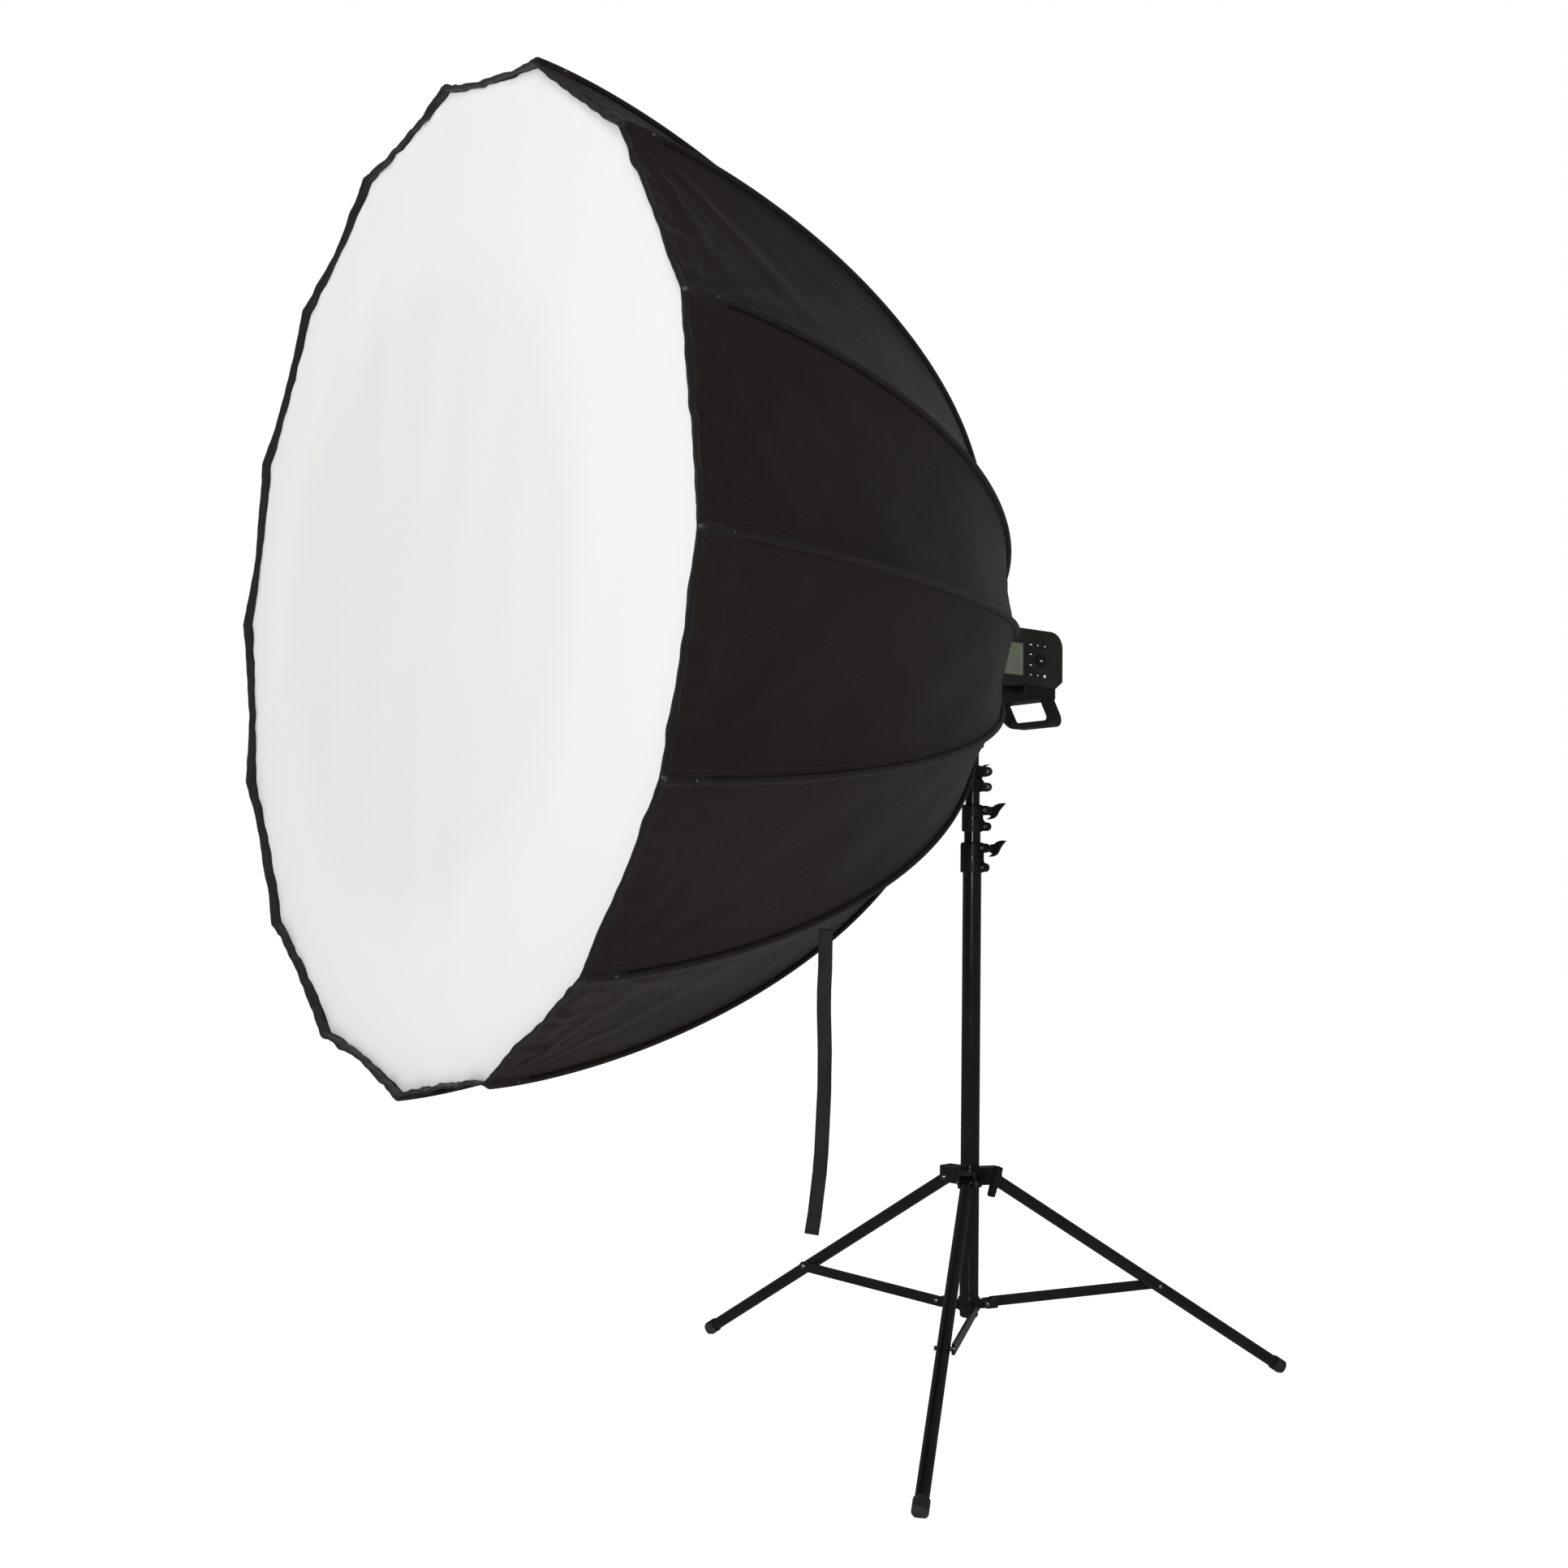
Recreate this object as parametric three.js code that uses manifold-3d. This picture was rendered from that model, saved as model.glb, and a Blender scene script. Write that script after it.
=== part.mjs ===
// A sixteen-rod deep parabolic softbox on a battery flash head, with a tilting bracket and a folding stand.
// Millimetres, +Z up. The softbox opens towards -Y. The origin is on the floor, under the object's middle.

import * as THREE from 'three';
import { mergeVertices } from 'three/addons/utils/BufferGeometryUtils.js';
import Module from 'manifold-3d';

const wasm = await Module();
wasm.setup();

// ---- driving dimensions ----

const GAP = 0.3; // between pieces that touch

// light stand
const legAzimuths = [191.5, 311.5, 71.5];
const tubeRadii = [17, 15, 13, 11]; // bottom, mid, upper and top column tubes
const tubeWall = 1.2;
const columnTops = [939, 1014, 1087, 1162]; // where each tube's sleeve or shoulder begins
const sleeveHeights = [55, 49, 48];
const collarHeight = 384.6;
const legPivotRadius = 48;
const legRadius = 11;
const footReach = 651.5;
const footCentreHeight = 8.1;
const footRadius = 13.2;
const hubHeight = 160.7;
const bracePivotRadius = 36;
const braceShare = 0.555; // brace rivet's place along the leg
const braceSideOffset = [13.6, 18.6]; // the brace bar lies beside its leg and clears the foot when folded
const knobAzimuth = 11.5;
const knobTilt = -25;
const clampAzimuths = [12.5, 27.5, 55.5];
const clampReach = 27; // from the column's middle to the clamp bolts
const leverTurns = [0, 0, 180];
const windowTurn = -62; // from a clamp's bosses to its window

// bracket
const spigotRadius = 8;
const spigotTop = 1206;
const tiltHeight = 1238;
const trayBottom = 1270;
const rearTrayBottom = 1261;
const handleSides = [-68, 61];
const handleBottom = 1216.5;
const handleThickness = 10;
const handleBand = [117, 147];
const handleRake = 0.6;

// flash head
const axisHeight = 1333.6;
const headBottom = 1284;
const headTop = 1391;
const headLeft = -50;
const headRight = 62;
const headFront = -60;
const headBack = 170;
const recessRadius = 50;

// softbox
const mouthRadius = 750;
const shellDepth = 1030; // from the mouth to where the curve would meet the axis
const shellExponent = 1.54;
const mouthY = -1105;
const rodCount = 16;
const firstRodAngle = 2.6;
const rodRadius = 3;
const hingeRadius = 91;
const ringOuter = 99;
const ringInner = 46;
const ringFront = -100;
const ringBack = -77;
const fabricThickness = 1.2;
const fabricEndRadius = 118;
const profileSteps = 14;
const diffuserDepth = 16;
const baffleDepth = 420;
const baffleRadius = 500;
const strapRod = 7;
const strapDepth = 416;
const strapWidth = 20;
const strapTurn = 53.6;
const strapRoute = [ // sideways and down from where the strap is sewn on
  [0, 0], [0, 28], [0, 56], [-1, 84], [-1, 112], [0, 140], [1, 168], [1, 196],
  [1, 224], [0, 252], [-1, 280], [-2, 308], [-4, 336], [-7, 364], [-10, 392], [-14, 419],
];

// ---- materials ----

const finish = (color, roughness, metalness = 0) =>
  new THREE.MeshStandardMaterial({ color, roughness, metalness });
const blackMetal = finish(0x141416, 0.35, 0.6);
const blackPlastic = finish(0x19191b, 0.5);
const gripRubber = finish(0x1c1c1c, 0.85);
const headPlastic = finish(0x23241f, 0.55);
const screenGlass = finish(0x6c7763, 0.2);
const buttonPlastic = finish(0x2a2a2a, 0.5);
const rodPlastic = finish(0x101010, 0.3);
const blackCloth = finish(0x24201d, 0.7);
const whiteCloth = finish(0xefefef, 0.9);
const lampGlass = finish(0xe8e4d8, 0.2);

// ---- geometry helpers ----

const radians = THREE.MathUtils.degToRad;

// a closed, welded geometry as a solid that can be joined and cut
function solidOf(geometry) {
  const bare = geometry.index ? geometry.toNonIndexed() : geometry.clone();
  bare.deleteAttribute('normal');
  bare.deleteAttribute('uv');
  const welded = mergeVertices(bare, 1e-4);
  const mesh = new wasm.Mesh({
    numProp: 3,
    vertProperties: new Float32Array(welded.attributes.position.array),
    triVerts: new Uint32Array(welded.index.array),
  });
  return new wasm.Manifold(mesh);
}

function geometryOf(solid) {
  const mesh = solid.getMesh();
  const geometry = new THREE.BufferGeometry();
  geometry.setAttribute('position', new THREE.BufferAttribute(new Float32Array(mesh.vertProperties), 3));
  geometry.setIndex(new THREE.BufferAttribute(new Uint32Array(mesh.triVerts), 1));
  geometry.computeVertexNormals();
  return geometry;
}

const joined = (...solids) => solids.reduce((sum, each) => sum.add(each));
const cut = (solid, ...tools) => tools.reduce((rest, tool) => rest.subtract(tool), solid);

function box([x0, x1], [y0, y1], [z0, z1]) {
  const geometry = new THREE.BoxGeometry(x1 - x0, y1 - y0, z1 - z0);
  geometry.translate((x0 + x1) / 2, (y0 + y1) / 2, (z0 + z1) / 2);
  return solidOf(geometry);
}

// a solid cylinder along x, y or z between two stations, at the given centre in the other two directions
function cylinder(axis, radius, [from, to], [a, b] = [0, 0], sides = 24) {
  const geometry = new THREE.CylinderGeometry(radius, radius, to - from, sides);
  const middle = (from + to) / 2;
  if (axis === 'x') {
    geometry.rotateZ(Math.PI / 2);
    geometry.translate(middle, a, b);
  } else if (axis === 'y') {
    geometry.translate(a, middle, b);
  } else {
    geometry.rotateX(Math.PI / 2);
    geometry.translate(a, b, middle);
  }
  return solidOf(geometry);
}

// a ring or tube about Z, from [radius, z] corners of its closed section
function turned(corners, sides = 24) {
  const points = corners.map(([r, z]) => new THREE.Vector2(r, z));
  points.push(points[0].clone());
  const geometry = new THREE.LatheGeometry(points, sides);
  geometry.rotateX(Math.PI / 2);
  return solidOf(geometry);
}

const pipe = (outer, inner, from, to, sides = 24) =>
  turned([[outer, from], [outer, to], [inner, to], [inner, from]], sides);

// a closed outline drawn in a plane and given thickness; spread 'yz' puts it across X, 'xz' across Y
function plate(outline, spread, [from, to], bevel = 0) {
  const shape = outline instanceof THREE.Shape
    ? outline
    : new THREE.Shape(outline.map(([a, b]) => new THREE.Vector2(a, b)));
  const geometry = new THREE.ExtrudeGeometry(shape, {
    depth: to - from - 2 * bevel,
    bevelEnabled: bevel > 0,
    bevelThickness: bevel,
    bevelSize: bevel,
    bevelOffset: -bevel,
    bevelSegments: 2,
    curveSegments: 6,
  });
  geometry.translate(0, 0, bevel - (to - from) / 2);
  const basis = new THREE.Matrix4();
  if (spread === 'yz') {
    basis.makeBasis(axisVector.y, axisVector.z, axisVector.x);
    geometry.applyMatrix4(basis).translate((from + to) / 2, 0, 0);
  } else {
    basis.makeBasis(axisVector.x, axisVector.z, axisVector.y.clone().negate());
    geometry.applyMatrix4(basis).translate(0, (from + to) / 2, 0);
  }
  return solidOf(geometry);
}

const axisVector = {
  x: new THREE.Vector3(1, 0, 0),
  y: new THREE.Vector3(0, 1, 0),
  z: new THREE.Vector3(0, 0, 1),
};

const object = new THREE.Group();

function addMesh(name, solid, material, parent = object) {
  const mesh = new THREE.Mesh(geometryOf(solid), material);
  mesh.name = name;
  parent.add(mesh);
  return mesh;
}

function turnedGroup(azimuth, parent = object) {
  const group = new THREE.Group();
  group.rotation.z = radians(azimuth);
  parent.add(group);
  return group;
}

// ---- light stand: column ----

const sleeveTop = (index) => columnTops[index] + sleeveHeights[index];

function columnTube(index, bottom, top) {
  const outer = tubeRadii[index];
  return pipe(outer, outer - tubeWall, bottom, top);
}

function bottomTube() {
  return columnTube(0, hubHeight - 6, columnTops[0] + sleeveHeights[0] / 2 - GAP);
}

function topTubeWithSpigot() {
  const tube = columnTube(3, 330, columnTops[3]);
  const shoulder = turned([
    [0, 1150], [tubeRadii[3], 1150], [tubeRadii[3], columnTops[3]], [spigotRadius, 1166],
    [spigotRadius, spigotTop - 2], [spigotRadius - 2, spigotTop], [0, spigotTop],
  ]);
  return joined(tube, shoulder);
}

// a sleeve that grips the tube below it and the thinner tube inside: split down one side between two pairs
// of screw bosses, and slit at its waist from the split round to a small window
function clampSleeve(index) {
  const bottom = columnTops[index];
  const top = sleeveTop(index);
  const waist = bottom + sleeveHeights[index] / 2;
  const grip = tubeRadii[index];
  const outer = grip + 4.6;
  const wideBore = grip + GAP;
  const narrowBore = tubeRadii[index + 1] + GAP;
  const ring = turned([
    [outer - 1.5, bottom], [outer, bottom + 2], [outer, top - 3], [outer - 2.5, top],
    [narrowBore, top], [narrowBore, waist], [wideBore, waist], [wideBore, bottom],
  ]);
  const boss = (from, to, half) => joined(
    box([grip + 2, clampReach], [-half, half], [from, to]),
    cylinder('y', (to - from) / 2, [-half, half], [clampReach, (from + to) / 2], 20),
  );
  const gussetOutline = [[grip + 2, bottom + 15], [grip + 10, bottom + 15], [grip + 2, bottom + 26]];
  const gusset = plate(gussetOutline, 'xz', [-5, 5]);
  const bosses = joined(boss(top - 19, top - 2, 6.5), boss(bottom + 1, bottom + 17, 5.5), gusset);
  const hollow = cylinder('z', grip + 1, [bottom - 1, top + 1]);
  const slit = box([7, grip + 30], [-30, 0.8], [waist - 1.1, waist + 1.1]);
  const window = box([grip - 3, grip + 6], [-3, 3], [waist - 3.5, waist + 3.5]).rotate([0, 0, windowTurn]);
  const split = box([grip - 4, grip + 30], [-0.8, 0.8], [bottom - 1, top + 1]);
  return cut(joined(ring, cut(bosses, hollow)), slit, window, split);
}

// a fish-tail lever on the far end of the upper bolt, which runs across the split
function clampLever(index) {
  const height = sleeveTop(index) - 10.5;
  const wingStart = tubeRadii[index] + 5.5;
  const shaft = cylinder('y', 5.5, [6.5 + GAP, wingStart + 1], [clampReach, height], 16);
  const blade = new THREE.Shape();
  blade.moveTo(-9, -15);
  blade.quadraticCurveTo(8, -16, 13, -6);
  blade.quadraticCurveTo(17, 4, 29, 14);
  blade.quadraticCurveTo(14, 16, 5, 8);
  blade.quadraticCurveTo(-6, 9, -8, 0);
  blade.quadraticCurveTo(-8, -7, 1, -9);
  blade.quadraticCurveTo(-2, -13, -9, -15);
  const wing = plate(blade, 'xz', [wingStart, wingStart + 7]).rotate([0, leverTurns[index], 0]);
  return joined(shaft, wing.translate([clampReach, 0, height]));
}

function addColumn() {
  addMesh('bottom_tube', bottomTube(), blackMetal);
  const stageTubes = [['mid_tube', 1, 240], ['upper_tube', 2, 285]];
  for (const [name, index, lowEnd] of stageTubes) {
    const top = columnTops[index] + sleeveHeights[index] / 2 - GAP;
    addMesh(name, columnTube(index, lowEnd, top), blackMetal);
  }
  addMesh('top_tube', topTubeWithSpigot(), blackMetal);
  clampAzimuths.forEach((azimuth, index) => {
    const side = turnedGroup(azimuth);
    addMesh(`clamp_sleeve_${index + 1}`, clampSleeve(index), blackPlastic, side);
    addMesh(`clamp_lever_${index + 1}`, clampLever(index), blackPlastic, side);
  });
}

// ---- light stand: legs ----

const legSlope = Math.atan2(collarHeight - footCentreHeight, footReach - legPivotRadius);
const legLength = Math.hypot(collarHeight - footCentreHeight, footReach - legPivotRadius);
const rivetRadius = legPivotRadius + braceShare * legLength * Math.cos(legSlope);
const rivetHeight = collarHeight - braceShare * legLength * Math.sin(legSlope);
const braceSlope = Math.atan2(rivetHeight - hubHeight, rivetRadius - bracePivotRadius);
const braceLength = Math.hypot(rivetHeight - hubHeight, rivetRadius - bracePivotRadius);

// puts a piece drawn along +X from its pivot at the leg's slope, in the plane of one leg
const alongLeg = (solid) =>
  solid.rotate([0, THREE.MathUtils.radToDeg(legSlope), 0]).translate([legPivotRadius, 0, collarHeight]);
const alongBrace = (solid) =>
  solid.rotate([0, -THREE.MathUtils.radToDeg(braceSlope), 0]).translate([bracePivotRadius, 0, hubHeight]);

const lyingPipe = (outer, inner, from, to) => pipe(outer, inner, from, to).rotate([0, 90, 0]);

function legCollar() {
  const top = collarHeight + 22;
  const bottom = collarHeight - 13;
  let collar = turned([[21, bottom], [22.5, bottom + 2], [22.5, top - 2], [21, top],
    [tubeRadii[0] + GAP, top], [tubeRadii[0] + GAP, bottom]]);
  for (const azimuth of legAzimuths) {
    const hood = joined(
      box([15, 56], [-16, 16], [bottom + 4, top - 1]),
      cylinder('z', 16, [bottom + 4, top - 3], [48, 0], 20),
    );
    const slot = box([27, 90], [-legRadius - 0.6, legRadius + 0.6], [bottom - 20, collarHeight + 14]);
    const column = cylinder('z', tubeRadii[0] + 2, [bottom - 1, top + 1]);
    collar = joined(collar, cut(hood, slot, column).rotate([0, 0, azimuth]));
  }
  const boss = cut(
    cylinder('x', 8.5, [15, 36], [0, collarHeight + 2], 16),
    cylinder('z', tubeRadii[0] + 2, [bottom, top]),
  );
  return joined(collar, boss.rotate([0, 0, knobAzimuth]));
}

// a T-shaped wing knob on a stub shaft along +X, with its bar turned a little from upright
function wingKnob(from, height, reach, barLength, turn = 0) {
  const shaft = cylinder('x', 5.5, [from, from + reach], [0, height], 16);
  const half = barLength / 2;
  const outline = [
    [-5.5, half], [5.5, half], [7.5, half - 3], [6.5, 4], [5, -half + 3],
    [3.5, -half], [-3.5, -half], [-5, -half + 3], [-6.5, 4], [-7.5, half - 3],
  ];
  const bar = plate(outline, 'yz', [from + reach - 2, from + reach + 9]);
  return joined(shaft, bar.rotate([turn, 0, 0]).translate([0, 0, height]));
}

// tube with a round-nosed plug at its pivot and a pin for the brace
function legTube() {
  const tube = lyingPipe(legRadius, legRadius - 1.2, 0, legLength - 6 - GAP);
  const plug = cylinder('y', legRadius, [-9, 9], [0, 0], 24);
  const place = braceShare * legLength;
  const pin = cylinder('y', 3.5, [-legRadius - 2, braceSideOffset[0] - GAP], [place, 0], 12);
  return alongLeg(joined(tube, plug, pin));
}

// rubber cap, cut flat where it stands on the floor
function footCap() {
  const cup = turned([
    [0, legLength - 6], [legRadius + GAP, legLength - 6], [legRadius + GAP, legLength - 24],
    [footRadius, legLength - 24], [footRadius, legLength - 1.5], [footRadius - 1.5, legLength],
    [0, legLength],
  ]);
  return alongLeg(cup.rotate([0, 90, 0]));
}

// flat bar beside its leg, with a fork over the hub's ear
function brace() {
  const [near, far] = braceSideOffset;
  const outline = new THREE.Shape();
  outline.moveTo(12, -9);
  outline.lineTo(braceLength, -9);
  outline.absarc(braceLength, 0, 9, -Math.PI / 2, Math.PI / 2, false);
  outline.lineTo(12, 9);
  outline.closePath();
  const bar = plate(outline, 'xz', [near, far]);
  const cheek = (from, to) => joined(
    box([0, 20], [from, to], [-8, 8]),
    cylinder('y', 8, [from, to], [0, 0], 16),
  );
  const fork = joined(cheek(near, near + 4), cheek(-4, 0), box([13, 20], [-4, far - 1], [-8, 8]));
  return alongBrace(joined(bar, fork));
}

function lowerHub() {
  const bore = tubeRadii[0] + GAP;
  const earSides = [0.5, braceSideOffset[0] - 0.5];
  let hub = turned([
    [0, 140.6], [14.5, 140.6], [16.5, 143], [16.5, 151], [19.5, 153], [19.5, 174], [18.5, 176],
    [bore, 176], [bore, hubHeight - 6.3], [0, hubHeight - 6.3],
  ]);
  for (const azimuth of legAzimuths) {
    const ear = joined(
      box([16, bracePivotRadius], earSides, [hubHeight - 7.5, hubHeight + 7.5]),
      cylinder('y', 7.5, earSides, [bracePivotRadius, hubHeight], 16),
    );
    const column = cylinder('z', tubeRadii[0] + 1, [130, 190]);
    hub = joined(hub, cut(ear, column).rotate([0, 0, azimuth]));
  }
  return hub;
}

function addLegs() {
  addMesh('leg_collar', legCollar(), blackPlastic);
  const knob = wingKnob(36 + GAP, collarHeight + 2, 15, 55, knobTilt);
  addMesh('collar_knob', knob, blackPlastic, turnedGroup(knobAzimuth));
  addMesh('lower_hub', lowerHub(), blackPlastic);
  const floor = box([0, 900], [-100, 100], [0, 500]);
  legAzimuths.forEach((azimuth, index) => {
    const side = turnedGroup(azimuth);
    addMesh(`leg_${index + 1}`, legTube(), blackMetal, side);
    addMesh(`foot_${index + 1}`, footCap().intersect(floor), gripRubber, side);
    addMesh(`brace_${index + 1}`, brace(), blackMetal, side);
  });
}

// ---- tilting bracket ----

function swivelBase() {
  const bottom = columnTops[3] + 6;
  const body = turned([[18, bottom], [20, bottom + 2], [20, 1212], [16, 1220], [0, 1220],
    [0, spigotTop + 2], [spigotRadius + GAP, spigotTop + 2], [spigotRadius + GAP, bottom]]);
  const tongue = joined(
    box([-6, 6], [-14, 14], [1210, tiltHeight]),
    cylinder('x', 14, [-6, 6], [0, tiltHeight]),
  );
  const boss = cut(cylinder('x', 8, [12, 26], [0, 1192], 16), cylinder('z', 14, [1160, 1215]));
  return joined(body, tongue, boss.rotate([0, 0, 140]));
}

// upper half of the bracket: two cheeks, a tray under the head and the stirrup handle behind
function tiltBracket() {
  const cheek = (from, to) => joined(
    box([from, to], [-14, 14], [tiltHeight, trayBottom + 4]),
    cylinder('x', 14, [from, to], [0, tiltHeight]),
  );
  const trayTop = headBottom - GAP;
  const frontTray = box([-32, 32], [-52, 90], [trayBottom, trayTop]);
  const rearTray = plate([[70, trayBottom], [96, trayBottom], [104, rearTrayBottom], [146, rearTrayBottom],
    [151, rearTrayBottom + 5], [151, trayTop], [70, trayTop]], 'yz', handleSides);
  return joined(cheek(-14, -6 - GAP), cheek(6 + GAP, 14), frontTray, rearTray, stirrupHandle());
}

// a flat band bent into a U with round corners, leaning back as it goes down
function stirrupHandle() {
  const [left, right] = handleSides;
  const top = rearTrayBottom + 5;
  const outer = 22;
  const inner = 10;
  const inside = handleBottom + handleThickness;
  const outline = new THREE.Shape();
  outline.moveTo(left, top);
  outline.lineTo(left, handleBottom + outer);
  outline.absarc(left + outer, handleBottom + outer, outer, Math.PI, 1.5 * Math.PI, false);
  outline.absarc(right - outer, handleBottom + outer, outer, 1.5 * Math.PI, 2 * Math.PI, false);
  outline.lineTo(right, top);
  outline.lineTo(right - handleThickness, top);
  outline.absarc(right - handleThickness - inner, inside + inner, inner, 0, -0.5 * Math.PI, true);
  outline.absarc(left + handleThickness + inner, inside + inner, inner, -0.5 * Math.PI, -Math.PI, true);
  outline.lineTo(left + handleThickness, top);
  outline.closePath();
  const band = plate(outline, 'xz', handleBand);
  const rake = new THREE.Matrix4().makeShear(0, 0, 0, 0, 0, -handleRake);
  const raked = geometryOf(band.translate([0, 0, -top]));
  raked.applyMatrix4(rake);
  return solidOf(raked).translate([0, 0, top]);
}

function tiltLever() {
  const shaft = cylinder('x', 5, [14 + GAP, 24], [0, tiltHeight], 16);
  const arm = plate([[-7, 8], [7, 8], [8, -4], [5, -46], [0, -49], [-5, -46], [-8, -4]], 'yz', [22, 29]);
  return joined(shaft, arm.translate([0, 0, tiltHeight]));
}

function addBracket() {
  addMesh('swivel_base', swivelBase(), blackPlastic);
  addMesh('swivel_knob', wingKnob(26 + GAP, 1192, 8, 42), blackPlastic, turnedGroup(140));
  addMesh('tilt_bracket', tiltBracket(), blackPlastic);
  addMesh('tilt_lever', tiltLever(), blackPlastic);
}

// ---- flash head ----

const buttonRadius = 3.4;
const dialCentre = [111, 1333];
const dialRadius = 12;
const buttonColumns = [84, 102, 120];
const buttonRows = [1361, 1343, 1323, 1305];
const buttonPlaces = [[0, 0], [1, 0], [2, 0], [0, 1], [0, 2], [0, 3], [1, 3], [2, 3]];
const pocketDepth = 2.5;
const screenFrame = [[-4, 66], [1302, 1362]];

function headHousing() {
  const outline = new THREE.Shape();
  outline.moveTo(headFront, headBottom);
  outline.lineTo(headBack - 18, headBottom);
  outline.lineTo(headBack, headBottom + 14);
  outline.lineTo(headBack, headTop - 30);
  outline.absarc(headBack - 30, headTop - 30, 30, 0, Math.PI / 2, false);
  outline.lineTo(headFront + 8, headTop);
  outline.lineTo(headFront, headTop - 8);
  outline.closePath();
  const body = plate(outline, 'yz', [headLeft, headRight], 3);
  const flange = cylinder('y', 58, [ringBack + 1, headFront + 6], [0, axisHeight], 40);
  const recess = cylinder('y', recessRadius, [ringBack, headFront + 32], [0, axisHeight], 40);
  const floorOfPocket = headRight - pocketDepth;
  const pocketSpan = [floorOfPocket, headRight + 1];
  const pockets = buttonPlaces.map(([column, row]) =>
    cylinder('x', buttonRadius + 0.4, pocketSpan, [buttonColumns[column], buttonRows[row]], 14));
  pockets.push(cylinder('x', dialRadius + 0.5, [floorOfPocket, headRight + 1], dialCentre, 24));
  pockets.push(box([floorOfPocket, headRight + 1], ...screenFrame));
  return cut(joined(body, flange), recess, ...pockets);
}

function batteryPack() {
  const outline = new THREE.Shape();
  outline.moveTo(-24, headBottom + 8);
  outline.lineTo(150, headBottom + 8);
  outline.lineTo(158, headBottom + 16);
  outline.lineTo(158, headTop - 22);
  outline.lineTo(148, headTop - 10);
  outline.lineTo(-24, headTop - 10);
  outline.closePath();
  return plate(outline, 'yz', [headLeft - 34, headLeft - GAP], 2.5);
}

function screenPanel() {
  const [[y0, y1], [z0, z1]] = screenFrame;
  const front = headRight + 0.6;
  const panel = box([headRight - pocketDepth + GAP, front], [y0 + GAP, y1 - GAP], [z0 + GAP, z1 - GAP]);
  const window = box([front - 1, front + 1], [y0 + 6, y1 - 6], [z0 + 7, z1 - 7]);
  return cut(panel, window);
}

function controlDial() {
  const base = headRight - pocketDepth + GAP;
  const ring = cylinder('x', dialRadius, [base, headRight + 3], dialCentre, 24);
  const dish = cylinder('x', 5.5, [headRight + 1.6, headRight + 4], dialCentre, 16);
  return cut(ring, dish);
}

// plug-in lamp: a ring-shaped flash tube round a small modelling lamp, on a base disc
function lampUnit() {
  const back = headFront + 32 - GAP;
  const base = cylinder('y', 44, [back - 5, back], [0, axisHeight], 32);
  const ring = new THREE.TorusGeometry(31, 4.5, 8, 32);
  ring.rotateX(Math.PI / 2);
  ring.translate(0, back - 20, axisHeight);
  const pins = [-31, 31].map((x) => cylinder('y', 3, [back - 20, back - 4], [x, axisHeight], 10));
  const lamp = new THREE.SphereGeometry(12, 16, 10);
  lamp.translate(0, back - 17, axisHeight);
  const neck = cylinder('y', 9, [back - 12, back - 4], [0, axisHeight], 16);
  return joined(base, solidOf(ring), ...pins, neck, solidOf(lamp));
}

function addHead() {
  addMesh('head_housing', headHousing(), headPlastic);
  addMesh('battery_pack', batteryPack(), blackPlastic);
  addMesh('screen_panel', screenPanel(), screenGlass);
  addMesh('control_dial', controlDial(), blackPlastic);
  addMesh('lamp_unit', lampUnit(), lampGlass);
  buttonPlaces.forEach(([column, row], index) => {
    const button = cylinder('x', buttonRadius, [headRight - 1.2, headRight + 1.4],
      [buttonColumns[column], buttonRows[row]], 14);
    addMesh(`button_${index + 1}`, button, buttonPlastic);
  });
}

// ---- softbox ----

// radius of the rods' centre lines at a depth behind the mouth
const profileRadius = (depth) => mouthRadius * Math.sqrt(1 - (depth / shellDepth) ** shellExponent);
const depthAtRadius = (radius) => shellDepth * (1 - (radius / mouthRadius) ** 2) ** (1 / shellExponent);
const hingeDepth = depthAtRadius(hingeRadius);
const hingeY = mouthY + hingeDepth;

// depths of the corners along the rods, spaced evenly round the curve from the mouth to the back edge
function shellDepths() {
  const last = Math.asin(depthAtRadius(fabricEndRadius) / shellDepth);
  const depthAt = (_, step) => shellDepth * Math.sin((last * step) / profileSteps);
  return Array.from({ length: profileSteps + 1 }, depthAt);
}

// a point beside the profile at a depth, moved straight inwards from it by an offset
function profilePoint(depth, inward) {
  const slope = (profileRadius(depth) - profileRadius(depth + 0.5)) / 0.5;
  const length = Math.hypot(1, slope);
  return { depth: depth - (inward * slope) / length, radius: profileRadius(depth) - inward / length };
}

// a many-cornered skin of even thickness, open at both ends, about the Y axis
function cornerSkin(outer, inner) {
  const rings = [...outer, ...inner.slice().reverse()];
  const positions = [];
  for (const { depth, radius } of rings) {
    for (let corner = 0; corner < rodCount; corner += 1) {
      const angle = radians(firstRodAngle + (corner * 360) / rodCount);
      positions.push(radius * Math.sin(angle), mouthY + depth, axisHeight + radius * Math.cos(angle));
    }
  }
  const faces = [];
  rings.forEach((_, row) => {
    const nextRow = (row + 1) % rings.length;
    for (let corner = 0; corner < rodCount; corner += 1) {
      const nextCorner = (corner + 1) % rodCount;
      const a = row * rodCount + corner;
      const b = row * rodCount + nextCorner;
      const c = nextRow * rodCount + nextCorner;
      const d = nextRow * rodCount + corner;
      faces.push(a, b, d, b, c, d);
    }
  });
  const geometry = new THREE.BufferGeometry();
  geometry.setAttribute('position', new THREE.BufferAttribute(new Float32Array(positions), 3));
  geometry.setIndex(faces);
  return solidOf(geometry);
}

function shellFabric() {
  const clear = rodRadius + 0.8;
  const skin = (inward) => shellDepths().map((depth) => profilePoint(depth, inward));
  return cornerSkin(skin(clear), skin(clear + fabricThickness));
}

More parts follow.
